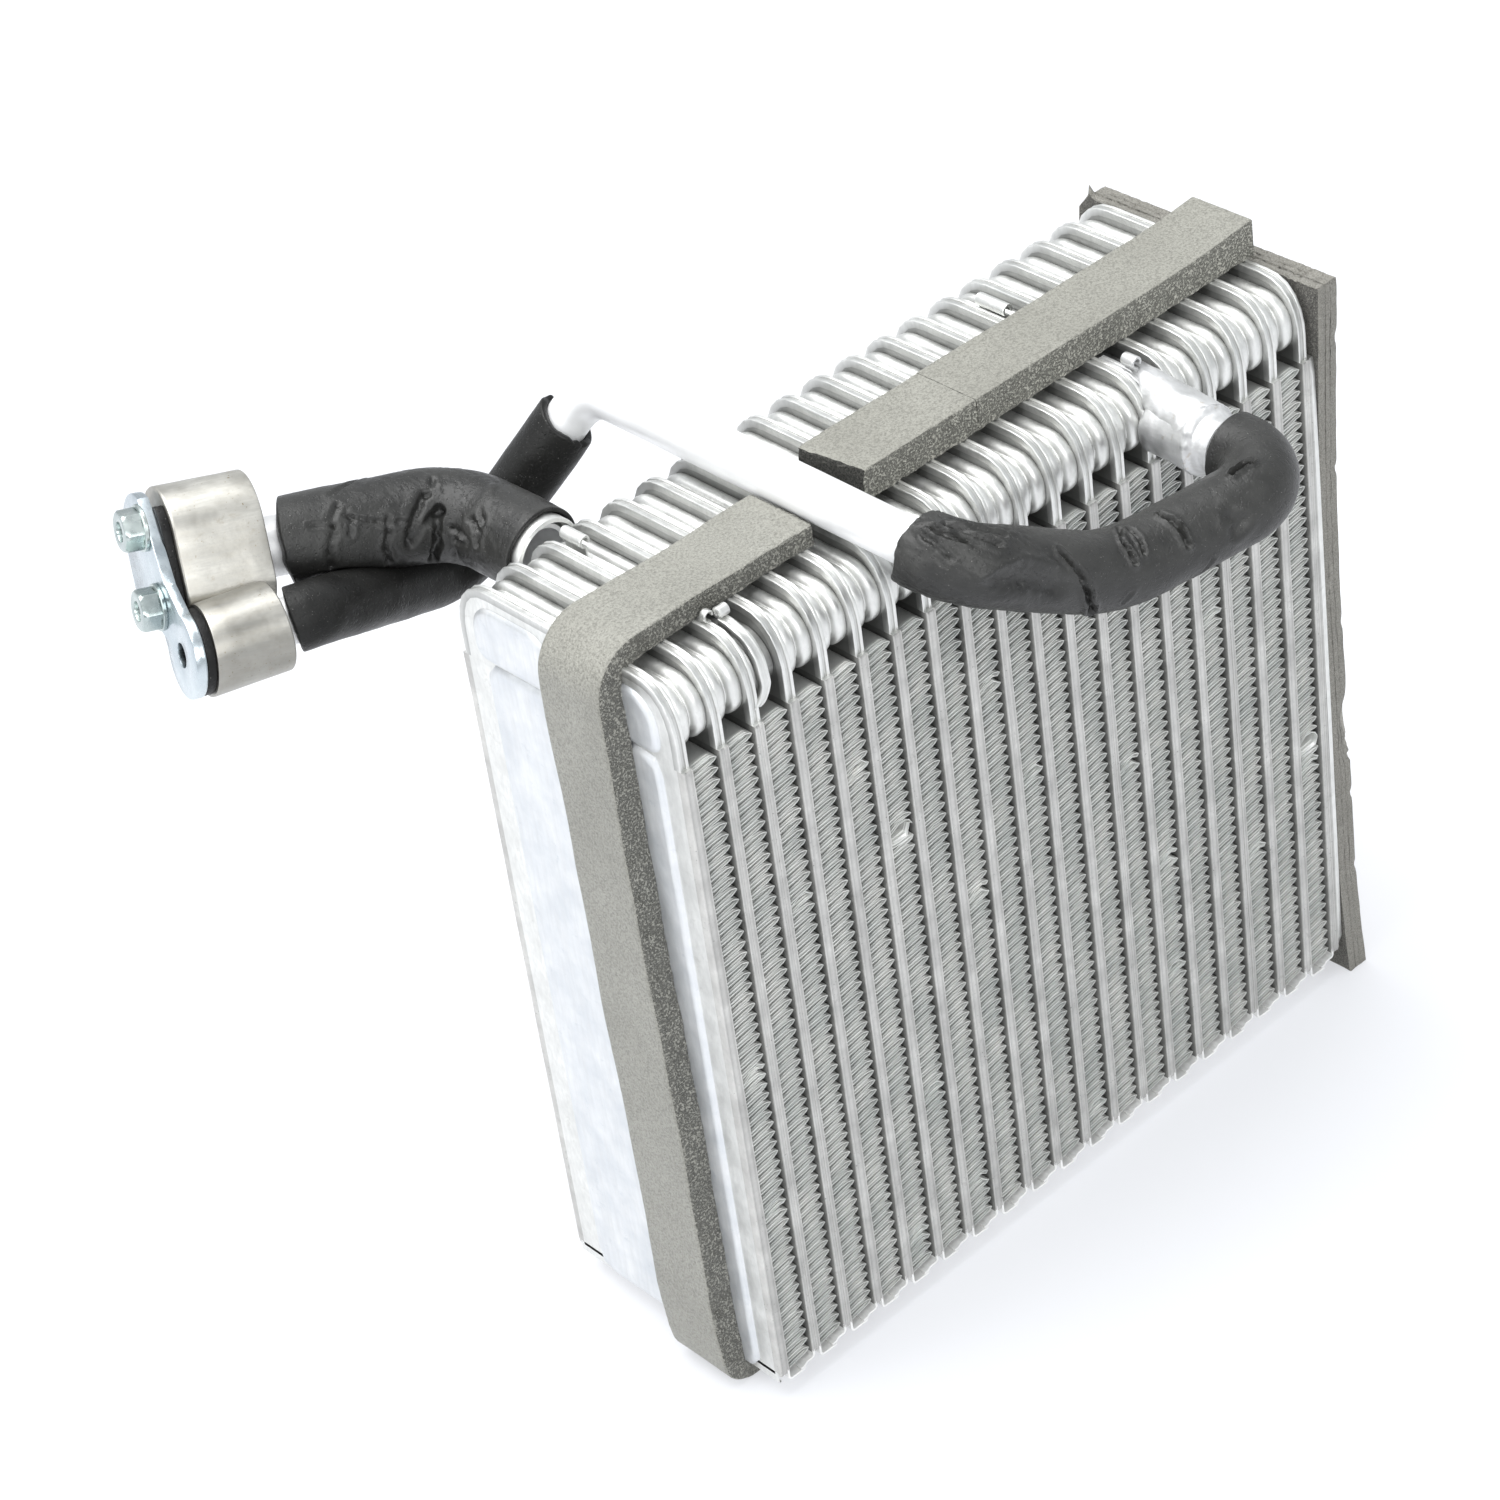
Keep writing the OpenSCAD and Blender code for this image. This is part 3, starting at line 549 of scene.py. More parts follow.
def plate(i, name):
    r = rng(100 + i)
    sp = Soup()
    left_cups = i not in (0, 3, 15)
    right_cups = i not in (2, 14, 19)
    jig = np.zeros((80, 2))
    k = np.arange(80)
    jig[:, 0] = 0.05 * np.sin(k / 4 + r.uniform(0, 6)) + 0.03 * np.sin(k / 1.7 + r.uniform(0, 6))
    g, d = plate_head(0, r, jig)
    sp.grid(g, tint_and_shade=d, flip=False, mi=0)
    for sx in (-1.58, 1.58):
        head_faces(sp, sx, (i == 0 and sx < 0) or (i == 19 and sx > 0))
    tube_strip(sp, r, unshaded={0: (-1.6,), 19: (1.6,)}.get(i, ()))
    for sgn, on in ((1, right_cups), (-1, left_cups)):
        if not on:
            continue
        for front in (True, False):
            c, cd = cup_side(sgn, front, r)
            sp.grid(c, close_v=True, flip=(sgn < 0), mi=0, tint_and_shade=cd)
    tabs(sp, i != 0, i != 19, r)
    if i == 0:
        end_left(sp, r)
    if i == 19:
        end_right(sp, r)
    for a in range(len(sp.v)):
        sp.v[a] = sp.v[a] + np.array([P * i, 0, 0])
    return sp.out("sheet_" + name, [M_PLATE, M_TUBE, M_END_SHADED, M_FOOT], "plate_alloy", (name,), 35)


def raised(sp, loop_fn, levels, x0, cen, mi=0):
    """low pressed swelling: loops from loop_fn(inset) at heights given by levels"""
    rows = [to3(loop_fn(ins), x0 - h) for ins, h in levels]
    sp.grid(np.array(rows), close_v=True, flip=True, mi=mi)
    last = rows[-1]
    c = last.mean(axis=0)
    # soft dome: a few shrinking loops then a fan
    k = [last]
    for s in (0.8, 0.55, 0.3):
        q = c + (last - c) * s
        k.append(q)
    sp.grid(np.array(k), close_v=True, flip=True, mi=mi)
    n = len(last)
    sp.add(np.vstack([k[-1], c[None]]), [(j, (j + 1) % n, n) for j in range(n)], mi)


def end_left(sp, r):
    x0 = -1.6

    def panel(s):
        return resample(rr_loop(8.3 + s, D - 10.0 - s, 0.7 + s, 212.5 - s, 4, 4.5, 9), 90)
    lv = [(0.0, 0.0), (0.35, 0.35), (0.8, 0.72), (1.35, 0.94), (2.0, 1.0)]
    raised(sp, panel, lv, x0, None, 2)

    def dee(s):
        a = rr_loop(7.2 + s, 38.8 - s, 212.9 + s, 230.6 - s, max(1.2, 9.2 - s), max(1.0, 4.5 - s), 9)
        return resample(a, 70)

    def dee_b(s):
        a = dee(s).copy()
        a[:, 0] = D - a[:, 0]
        return a[::-1]
    for fn in (dee, dee_b):
        raised(sp, fn, [(0.0, 0.0), (0.3, 0.34), (0.8, 0.74), (1.4, 0.95), (2.2, 1.02)], x0, None, 2)
    # pressed round dimple, its sunk centre painted darker as shade
    th = np.linspace(0, 2 * np.pi, 24, endpoint=False)
    rows = []
    for rad, h in ((3.1, 0.02), (2.6, 0.35), (2.1, 0.5), (1.7, 0.35), (1.3, 0.12)):
        rows.append(np.column_stack([np.full(24, x0 - h), 62.5 + rad * np.cos(th), 219.5 + rad * np.sin(th)]))
    sp.grid(np.array(rows), close_v=True, flip=True, mi=2)
    sp.cap(rows[-1], tint_and_shade=0.5, flip=True, mi=2)
    # skin that closes the lower lip of the sheet
    yy = np.linspace(1.2, D - 1.2, 12)
    lo = np.array([[x0, y, 0.7] for y in yy])
    hi = np.array([[x0, y, 4.2] for y in yy])
    inn = np.array([[-0.85, y, 0.7] for y in yy])
    sp.grid(np.array([hi, lo, inn]), flip=False)


def end_right(sp, r):
    loop0 = resample(rr_loop(0.15, D - 0.15, 0.5, FT, 1.0, 7, 7), 120)
    c = loop0.mean(axis=0)

    def ins(s):
        d = loop0 - c
        return c + d * (1 - s / np.abs(d).max(axis=0))
    lv = [(0.0, 1.6), (0.0, 3.0), (0.18, 3.38), (0.6, 3.5), (3.0, 3.5)]
    rows = [to3(ins(s), x) for s, x in lv]
    sp.grid(np.array(rows), close_v=True, flip=False)
    sp.cap(rows[-1])


PLATE_NAMES = ["left_end_plate"] + ["plate_pair_%02d" % i for i in range(1, 19)] + ["right_end_plate"]
for i_, n_ in enumerate(PLATE_NAMES):
    plate(i_, n_)

# ---------------------------------------------------------------- fins
FZ0, LEG, NLEG = 2.95, 1.727, 120
FX0, FX1 = 1.70, 10.30
FTOP = 210.3
# places where the fin edges were bent: column, height, reach, kind
HURT = [(5, 149.8, 5.0, "open"), (18, 84.6, 5.0, "open"), (18, 77.0, 3.4, "press"), (7, 113.5, 2.6, "press"),
        (4, 14.8, 4.0, "press"), (13, 79.6, 3.0, "press"), (0, 107.1, 3.0, "press"), (5, 60.0, 2.2, "press"), (9, 140.0, 2.2, "press"), (6, 17.0, 2.5, "press"),
        (13, 40.0, 2.5, "press"), (15, 150.0, 2.5, "press"), (8, 176.0, 2.0, "press"), (4, 178.0, 2.2, "press"), (2, 150.0, 1.8, "press"),
        (12, 120.0, 2.0, "press"), (16, 60.0, 2.4, "press"), (10, 12.0, 2.2, "press"), (0, 60.0, 2.0, "press"), (17, 180.0, 2.0, "press")]


def fin(c):
    r = rng(500 + c)
    n = NLEG
    zt = FZ0 + LEG * np.arange(n + 1)
    drift = np.cumsum(r.normal(0, 0.05, n + 1))
    drift -= np.linspace(drift[0], drift[-1], n + 1)
    drift = np.clip(drift, -0.4, 0.4)
    zt = zt + drift
    pts, tip = [], []
    for k in range(n):
        za, zb = zt[k], zt[k + 1]
        right = k % 2 == 0
        h = zb - za
        bow = 0.08 + 0.02 * r.normal()
        gap = 0.33 * LEG
        # near the right turn the two legs of a leaf draw together
        z_lo, z_hi = za + gap, zb - gap
        sl = z_lo if right else z_hi            # height at the left end
        sr = zb - 0.56 * LEG if right else za + 0.56 * LEG            # height at the right end
        pin = -1.0 if right else 1.0            # towards the partner leg on the right
        e = r.normal(0, 0.04)
        leg = [(FX0 + 0.85, sl), (FX0 + 4.0, 0.5 * sl + 0.5 * sr + bow), (FX1 - 2.1 + e, sr + bow * 0.5), (FX1 - 0.95 + e, sr - pin * 0.2 * h)]
        if not right:
            leg = leg[::-1]
        pts += leg
        tip += [0, 0, 0, 0]
        if k < n - 1:
            if right:
                pts += [(FX1 - 0.1 - abs(e), zb - 0.06 * h), (FX1 - 0.1 - abs(e), zb + 0.06 * h)]
            else:
                pts += [(FX0 + 0.2, zb - 0.2 * h), (FX0 + 0.2, zb + 0.2 * h)]
            tip += [1, 1]
    pts = np.array(pts)
    pts[:, 1] += 0.115 * (pts[:, 0] - 6.0)
    pts[:, 1] = np.clip(pts[:, 1], FZ0 + 0.08, FTOP - 0.1)
    m = len(pts)
    z = pts[:, 1]
    # front land, two louvre slats as small steps, then the plain rest of the sheet up to a clean rear edge;
    # same stations on both sides
    ys = np.array([1.36, 2.02, 2.07, 2.95, 3.0, 4.2, 79.4, 82.9])
    lou = np.array([0.0, -0.04, 0.26, -0.04, 0.26, 0.0, 0.0, 0.0])
    tg = np.gradient(pts, axis=0)
    nr = np.column_stack([-tg[:, 1], tg[:, 0]])
    nr /= np.maximum(np.linalg.norm(nr, axis=1), 1e-6)[:, None]
    th = 0.085
    mask = np.clip((pts[:, 0] - FX0 - 0.9) / 0.8, 0, 1) * np.clip((FX1 - 0.9 - pts[:, 0]) / 0.8, 0, 1)
    # the sheet that faces up changes side at each turn: the louvres always stand towards +z
    up = np.sign(nr[:, 1])
    ph = r.uniform(0, 6.28, 3)
    soft = np.clip((pts[:, 0] - FX0) / 2.0, 0, 1) * np.clip((FX1 - pts[:, 0]) / 1.2, 0, 1)
    front = np.zeros((m, 2))
    front[:, 1] = soft * (0.09 * np.sin(z / 6.3 + ph[0]) + 0.03 * np.sin(z / 2.9 + ph[1])) + 0.02 * mask * r.normal(0, 1, m)
    back = 0.10 * np.abs(r.normal(0, 1, m)) * mask
    # shine: mask for a painted highlight at the bent places
    shine = np.zeros(m)
    for cc, zc, reach, kind in HURT:
        if cc != c:
            continue
        g = np.exp(-((z - zc) / reach) ** 2)
        if kind == "press":
            front[:, 1] += mask * g * 0.55 * np.sin((z - zc) * 1.3 + 0.6)
            front[:, 0] += g * 0.3 * mask
            back += g * 0.8 * mask
            shine = np.maximum(shine, g)
        else:
            d = z - zc
            sgn = np.where(d >= 0, 1.0, -1.0)
            front[:, 1] += soft * np.exp(-(np.abs(d) / (reach * 0.62)) ** 1.6) * 2.0 * sgn
            shine = np.maximum(shine, 0.8 * g)
            back += g * 0.25 * mask
    st, painted_leg_shade = [], []
    for side, order in ((1.0, range(len(ys))), (-1.0, range(len(ys) - 1, -1, -1))):
        for q in order:
            k = math.exp(-max(0.0, ys[q] - 1.36) / 2.6)
            f = pts + front * k + side * nr * th
            f[:, 1] += lou[q] * mask * (up * side > 0)
            st.append((f, ys[q], back * k))
            # painted shade: the face that looks up is lighter than the face that looks down, each louvre step gets a
            # dark line and then a light edge, the sheet darkens further back under the next leg, and the rear edge is
            # light again
            painted_leg_shade.append(np.where(up * side > 0, (0.0, 0.3, 0.0, 0.36, 0.05, 0.55, 0.88, 0.0)[q], (0.0, 0.55, 0.62, 0.72, 0.8, 0.9, 0.93, 0.1)[q]))
    rows = []
    for f, y, bk in st:
        x_ = np.clip(f[:, 0], FX0 - 0.05, FX1 + 0.05)
        z_ = np.clip(f[:, 1], FZ0 + 0.02, FTOP)
        rows.append(np.column_stack([x_, np.minimum(y + bk, 82.9), z_]))
    ring = np.array(rows)
    # painted highlight: near the front the shade is lifted where an edge was bent, and on the top leg under the cups
    # the front rows are kept light
    near = np.array([y < 10 for _, y, _ in st])[:, None]
    tint_and_shade = np.array(painted_leg_shade) * (1 - 0.8 * shine * near)
    tint_and_shade[:, pts[:, 1] > 208.9] *= np.array([0.0, 0.5, 0.0, 0.5, 0.3, 0.5] + [1.0] * 10)[:, None]
    sp = Soup()
    sp.grid(ring, close_u=True, flip=True, tint_and_shade=tint_and_shade)
    # seal the two ends of the strip
    for j, fl in ((0, False), (m - 1, True)):
        sp.cap(ring[:, j], flip=fl)
    for a in range(len(sp.v)):
        sp.v[a] = sp.v[a] + np.array([P * c, 0, 0])
    return sp.out("strip_fin_%02d" % (c + 1), [M_FIN], "fin_alloy", ("fin_%02d" % (c + 1),), 50)


for c_ in range(19):
    fin(c_)

# ---------------------------------------------------------------- pipe run geometry, same figures as the solids
F1 = np.array([-23.77, 136.22, 233.0])
PC = np.array([30.0, 120.0, 223.2])
A1 = unit(PC - F1)
E2 = np.array([-0.16, -0.84, 0.52])
E2 = unit(E2 - A1 * (E2 @ A1))
E1 = np.cross(A1, E2)
F2 = F1 + 19.4 * E1 + 16.4 * E2
A2 = unit(A1 * 0.9928 - E1 * 0.12)
LK = F2 + A2 * 5.6
JJ = np.array([36.7, 134.2, 194.0])
CT = np.array([71.0, 109.5, 243.4])
LA = np.array([71.0, -25.0, 243.4])
LB = np.array([116.5, -32.0, 217.5])
LD = np.array([174.0, -42.0, 220.0])


def fillet(pts, rads, n=16):
    pts = [np.array(p, float) for p in pts]
    out = [pts[0]]
    for i in range(1, len(pts) - 1):
        a, b, c = pts[i - 1], pts[i], pts[i + 1]
        u, v, r = unit(a - b), unit(c - b), rads[i - 1]
        th = math.pi - math.acos(np.clip(u @ v, -1, 1))
        t = r * math.tan(th / 2)
        s, e = b + u * t, b + v * t
        cen = b + unit(u + v) * (r / math.cos(th / 2))
        p1 = unit(s - cen)
        p2 = unit(np.cross(np.cross(p1, e - cen), p1))
        for k in range(n + 1):
            q = th * k / n
            out.append(cen + r * (math.cos(q) * p1 + math.sin(q) * p2))
    out.append(pts[-1])
    return np.array(out)


def even(path, step):
    d = np.r_[0, np.cumsum(np.linalg.norm(np.diff(path, axis=0), axis=1))]
    n = max(2, int(round(d[-1] / step)) + 1)
    t = np.linspace(0, d[-1], n)
    return np.column_stack([np.interp(t, d, path[:, k]) for k in range(3)]), t


def frames_along(path, up):
    t = np.gradient(path, axis=0)
    t /= np.linalg.norm(t, axis=1)[:, None]
    n = up - t[0] * (up @ t[0])
    n = unit(n)
    N = [n]
    for k in range(1, len(path)):
        n = N[-1] - t[k] * (N[-1] @ t[k])
        N.append(unit(n))
    N = np.array(N)
    return t, N, np.cross(t, N)


def seg_dist(p, a, b):
    a, b = np.array(a, float), np.array(b, float)
    ab = b - a
    k = np.clip(((p - a) @ ab) / max(1e-9, ab @ ab), 0, 1)
    return np.linalg.norm(p - (a + k[:, None] * ab), axis=1), k


def line_groove(p, pts, w, d, shoulder=0.35):
    """depth field of a crease along a 3-D polyline"""
    best = np.full(len(p), 1e9)
    for a, b in zip(pts[:-1], pts[1:]):
        s, _ = seg_dist(p, a, b)
        best = np.minimum(best, s)
    x = best / w
    return -d * np.exp(-x * x) + d * shoulder * np.exp(-((x - 2.2) / 0.9) ** 2)


def noise3(p, scale, seed=0.0, octaves=2):
    out = np.zeros(len(p))
    a = 1.0
    for o in range(octaves):
        out += a * np.array([noise.noise(Vector((x * scale + seed, y * scale - seed, z * scale + 2 * seed))) for x, y, z in p])
        scale *= 2.1
        a *= 0.5
    return out


def sweep(path, radius, nt, up, off=None, step=1.0):
    """grid of a tube; off(P, s, theta, nrm) gives an extra radius"""
    pp, s = even(path, step)
    t, N, B = frames_along(pp, np.asarray(up, float))
    th = np.linspace(0, 2 * np.pi, nt, endpoint=False)
    nrm = N[:, None, :] * np.cos(th)[None, :, None] + B[:, None, :] * np.sin(th)[None, :, None]
    rad = np.full((len(pp), nt), float(radius)) if np.isscalar(radius) else radius(s, th)
    g = pp[:, None, :] + nrm * rad[:, :, None]
    if off is not None:
        o = off(g.reshape(-1, 3), np.repeat(s, nt), np.tile(th, len(pp)), s[-1]).reshape(len(pp), nt)
        g = g + nrm * o[:, :, None]
    return g, nrm, pp, t


def sleeve(name, node, path, radius, inner, up, off, r, step=1.0, nt=72, cut0=None, cut1=None, mat=None, bore0=None, bore1=None):
    """outer skin, rounded cut rims and a short inner wall at each end; cut0 and cut1 take the outward directions"""
    g, nrm, pp, t = sweep(path, radius, nt, up, off, step)
    sp = Soup()
    ns = len(pp)
    span = int(9.0 / step)
    for end, fn in ((0, cut0), (1, cut1)):
        # shear the end so that the cut is not quite square
        if fn is not None:
            idx = range(span) if end == 0 else range(ns - 1, ns - 1 - span, -1)
            for q, k in enumerate(idx):
                w = (1 - q / span) ** 1.3
                g[k] += t[k][None, :] * (fn(nrm[0 if end == 0 else ns - 1]) * w)[:, None]
    # painted shade: the underside is darker
    painted_low_shade = np.clip((0.25 - nrm[:, :, 2]) / 1.0, 0, 1) ** 0.8 * 0.95
    sp.grid(g, close_v=True, flip=False, tint_and_shade=painted_low_shade)
    for end in (0, 1):
        k = 0 if end == 0 else ns - 1
        d = -t[k] if end == 0 else t[k]
        bore = (bore0 if end == 0 else bore1) or [(1.0, inner), (4.0, inner), (10.0, inner)]
        cen = pp[k]
        rim = g[k]
        rv = rim - cen
        axial = (rv @ d)[:, None] * d[None, :]
        rad = rv - axial
        rl = np.linalg.norm(rad, axis=1)[:, None]
        rows = [rim]
        wall = rl - bore[0][1]
        ragged = wob(r, nt, 0.16, (3, 5, 8, 13, 21))[:, None]
        for f, out_ in ((0.05, 0.28), (0.16, 0.46), (0.45, 0.52), (0.75, 0.46), (0.93, 0.25)):
            rr = rl - wall * f
            rows.append(cen + axial + rad / rl * rr + d[None, :] * (out_ + ragged * min(1, f * 4) * 0.8))
        for dep, rb in bore:
            rows.append(cen + axial * (1.0 if dep < 3 else 0.0) + rad / rl * rb - d[None, :] * dep)
        gg = np.array(rows)
        cutm = np.zeros(gg.shape[:2])
        cutm[1] = 0.25
        cutm[2:] = 1.0
        sp.grid(gg, close_v=True, flip=(end == 0), tint_and_shade=cutm)
    return sp.out(name, [mat or M_SLEEVE], "sleeve_foam", (node,), 60, key="cut")


def pipe(name, node, pts, rads, r_out, r_in, r, up, ends=(0, 1)):
    path = fillet(pts, rads, 18)

    def off(P_, s, th, L):
        return 0.03 * np.sin(s / 9.0 + 1.3) * np.sin(2 * th + s / 21.0) - 0.05 * np.clip(noise3(P_, 0.12, 3.1, 1) - 0.25, 0, 1)
    g, nrm, pp, t = sweep(path, r_out, 44, up, off, 1.3)
    gi, _, _, _ = sweep(path, r_in, 44, up, None, 1.3)
    sp = Soup()
    # the bare stub beside the block is dull
    near = np.exp(-(np.linalg.norm(g - F1, axis=2) / 24.0) ** 4)
    sp.grid(g, close_v=True, tint_and_shade=0.2 * near)
    sp.grid(gi, close_v=True, flip=True)
    for k, fl in ((0, False), (len(pp) - 1, True)):
        sp.grid(np.array([gi[k], g[k]]), close_v=True, flip=fl)
    return sp.out(name, [M_PIPE], "pipe_alloy", (node,), 50)


R_ = rng(9)
pipe("bent_pipe_suction", "suction_pipe", [[30, 86.3, 223.0], PC, F1 - A1 * 10], [19], 7.95, 6.85, R_, (0, 0, 1))
pipe("bent_pipe_liquid", "liquid_pipe", [F2 - A2 * 10, LK, JJ, CT, LA, LB, LD, [174, -5.5, 220]], [12, 18, 14, 11, 45, 15], 6.35, 5.25, R_, (0, 0, 1))

# creases seen on the sleeves: (width, depth, shoulder, points); a negative depth stands proud
FRONT_MARKS = [
    (0.75, 0.75, 0.5, [(68.9, -20.1, 253.3), (70.4, -24.7, 252.3), (72.7, -28.0, 250.9)]),
    (0.7, 0.7, 0.5, [(66.9, -20.3, 252.4), (66.9, -25.2, 250.6), (67.0, -28.2, 248.3)]),
    (0.8, 0.8, 0.5, [(72.1, -22.1, 253.2), (75.1, -27.4, 251.4), (79.8, -32.5, 247.3)]),
    (0.6, 0.6, 0.4, [(65.5, -23.8, 250.3), (65.8, -27.9, 247.1)]),
    (0.7, 0.65, 0.5, [(73.5, -24.0, 252.6), (79.2, -28.3, 250.0), (83.3, -30.8, 247.3)]),
    (0.6, 0.5, 0.4, [(76.5, -23.0, 252.6), (82.5, -27.0, 250.0), (88.0, -29.5, 246.5)]),
    (0.55, 0.45, 0.4, [(67.8, -17.5, 253.4), (69.5, -19.5, 253.6)]),
    (0.55, 0.45, 0.4, [(70.8, -26.0, 252.0), (74.0, -30.5, 249.5)]),
    (1.2, -0.75, 0.3, [(71.0, -33.8, 243.1), (76.6, -35.2, 244.0), (84.0, -35.4, 242.7), (88.9, -36.4, 239.4), (92.0, -37.6, 236.4)]),
    (1.1, -0.5, 0.3, [(93.3, -38.4, 234.2), (97.6, -39.2, 231.5)]),
    (0.7, 1.1, 0.5, [(96.2, -36.0, 237.5), (97.7, -38.2, 233.5), (99.4, -39.6, 229.5), (100.5, -40.1, 223.9), (103.3, -37.7, 216.1)]),
    (2.4, 1.2, 0.1, [(75.2, -36.0, 239.6), (83.9, -37.5, 236.8), (90.9, -38.6, 230.3)]),
    (0.55, 0.75, 0.6, [(120.2, -32.4, 229.3), (117.0, -37.2, 228.5), (116.7, -39.7, 226.5), (116.7, -40.9, 224.8)]),
    (0.55, 0.6, 0.6, [(122.5, -34.3, 228.8), (122.0, -38.0, 227.6), (120.5, -40.5, 225.6)]),
    (0.6, 0.85, 0.6, [(132.3, -36.1, 228.7), (132.5, -40.2, 227.2), (132.7, -42.9, 225.2), (132.4, -44.3, 222.9)]),
    (0.5, 0.5, 0.5, [(133.5, -39.3, 227.9), (133.0, -42.3, 225.7)]),
    (0.5, 1.5, 0.5, [(155.0, -39.3, 229.7), (159.5, -39.0, 229.9), (161.9, -39.9, 229.9)]),
    (1.6, 0.7, 0.3, [(146.8, -46.3, 224.6), (149.0, -47.8, 222.2), (146.5, -47.6, 221.1)]),
    (0.6, 0.35, 0.4, [(81.4, -37.2, 236.5), (85.6, -31.7, 223.7)]),
    (0.6, 0.35, 0.4, [(111.5, -40.8, 215.5), (113.6, -42.1, 217.9)]),
    (0.6, 0.35, 0.4, [(136.4, -43.0, 210.0), (138.8, -46.1, 215.5)]),
]
SUC_MARKS = [
    (1.1, 1.5, 0.35, [(17.7, 116.3, 235.4), (13.5, 114.8, 233.1), (9.7, 113.8, 229.9), (8.1, 113.8, 227.3)]),
    (1.2, 1.6, 0.3, [(18.7, 112.1, 232.2), (15.8, 113.0, 231.3), (11.8, 113.0, 228.5), (8.9, 113.5, 225.8)]),
    (1.2, 1.5, 0.3, [(18.7, 112.1, 232.2), (15.7, 111.3, 228.2), (15.1, 111.4, 223.2), (14.9, 114.4, 217.3)]),
    (1.8, -0.9, 0.0, [(13.1, 112.6, 228.5), (11.4, 112.8, 224.7), (9.5, 114.2, 221.7)]),
    (0.7, 0.7, 0.5, [(-3.7, 124.9, 240.6), (-7.0, 123.0, 239.1), (-9.2, 120.7, 236.0), (-11.4, 119.9, 232.3), (-12.0, 120.1, 227.5)]),
    (0.7, 0.65, 0.5, [(5.7, 117.1, 234.5), (4.2, 115.8, 231.5), (2.2, 115.5, 227.7), (2.8, 116.5, 222.6)]),
    (0.6, 0.5, 0.5, [(-4.4, 122.1, 238.7), (0.0, 119.2, 236.2), (5.0, 116.5, 233.6), (9.9, 114.7, 232.2)]),
    (0.55, 0.45, 0.5, [(-11.5, 123.5, 239.2), (-8.3, 121.7, 237.6)]),
    (0.6, 0.5, 0.5, [(-2.9, 123.1, 239.3), (-3.0, 120.6, 237.3), (-5.4, 119.2, 234.5)]),
    (0.6, 0.5, 0.4, [(-2.7, 128.8, 241.5), (3.1, 130.1, 240.6), (9.9, 132.8, 238.4)]),
    (0.8, 0.9, 0.4, [(18.1, 108.5, 228.1), (18.7, 105.1, 227.9), (18.1, 101.6, 226.6)]),
    (0.8, 0.9, 0.4, [(20.9, 102.8, 231.4), (19.8, 98.7, 229.9), (18.3, 98.4, 226.9)]),
    (0.7, 0.7, 0.4, [(17.8, 106.8, 225.2), (17.8, 102.3, 225.5)]),
    (0.7, 0.7, 0.4, [(23.6, 101.5, 233.6), (21.1, 98.2, 231.7)]),
    (1.2, -0.6, 0.0, [(31.3, 105.3, 235.3), (26.4, 102.1, 234.9), (23.6, 102.3, 233.6)]),
    (0.8, 0.6, 0.4, [(22.6, 118.6, 236.6), (18.8, 115.7, 235.1)]),
]


def marks(P_, table, bend, amount):
    o = np.zeros(len(P_))
    wv = 0.45 * noise3(P_, 0.35, 9.0, 2)
    Q = P_ + np.column_stack([wv, -wv, wv])
    for w, d, sh, pts in table:
        o += line_groove(Q, [np.array(q) for q in pts], w, d * 1.45, sh if d > 0 else -0.0)
    # fine leathery folds near the bend
    near = np.exp(-((np.linalg.norm(P_ - bend, axis=1) - 10) / 13.0) ** 2)
    ridge = 1 - np.abs(noise3(P_ * np.array([1.0, 0.55, 0.8]), 0.42, 6.6, 2))
    return o - amount * near * np.clip(ridge - 0.72, 0, 1) * 1.6


def front_off(P_, s, th, L):
    o = 0.30 * noise3(P_, 0.035, 1.7, 2) + 0.09 * noise3(P_, 0.14, 5.2, 2) + 0.05 * noise3(P_, 0.5, 3.2, 1)
    return np.clip(o + marks(P_, FRONT_MARKS, np.array([73.0, -25.0, 248.0]), 0.75), -2.8, 1.05)


def front_cut(nv):
    """front mouth: the lower left corner of the skin sticks out past the rest"""
    th = np.arctan2(-nv[:, 0], nv[:, 2])
    flap = np.exp(-(((th - 2.05 + np.pi) % (2 * np.pi) - np.pi) / 0.36) ** 2)
    return -2.1 * flap + 0.5 * np.cos(th) + 0.25 * np.sin(5 * th)


sleeve("foam_sleeve_front", "liquid_sleeve_front",
       fillet([[71, -14.6, 243.4], LA, LB, LD, [174, -22, 220]], [11, 45, 15], 18), 10.55, 6.5, (0, 0, 1), front_off, rng(21), 0.55, 124, front_cut, None)


def suc_off(P_, s, th, L):
    o = 0.35 * noise3(P_, 0.04, 7.7, 2) + 0.10 * noise3(P_, 0.15, 2.2, 2) + 0.05 * noise3(P_, 0.5, 1.2, 1)
    o = np.clip(o + marks(P_, SUC_MARKS, np.array([20.0, 112.0, 228.0]), 0.45), -3.0, 0.8)
    # groove pressed by the liquid sleeve
    d, _ = seg_dist(P_, LK, JJ)
    return np.minimum(o, np.minimum(0, (d - 9.4)) * 1.0 + 0.2)


TOCAM = unit([-0.43, -0.72, 0.54])


def suc_cut(nv):
    th = np.arctan2(nv[:, 0], nv[:, 2])
    return 0.7 * np.cos(th - 2.4) + 0.2 * np.sin(4 * th)


def suc_cut_block(nv):
    """the near side of the skin reaches further over the stub"""
    return 5.4 * (nv @ TOCAM) + 0.2 * np.sin(3 * np.arctan2(nv[:, 0], nv[:, 2]))


def rear_cut_block(nv):
    return -2.9 * (nv @ TOCAM)


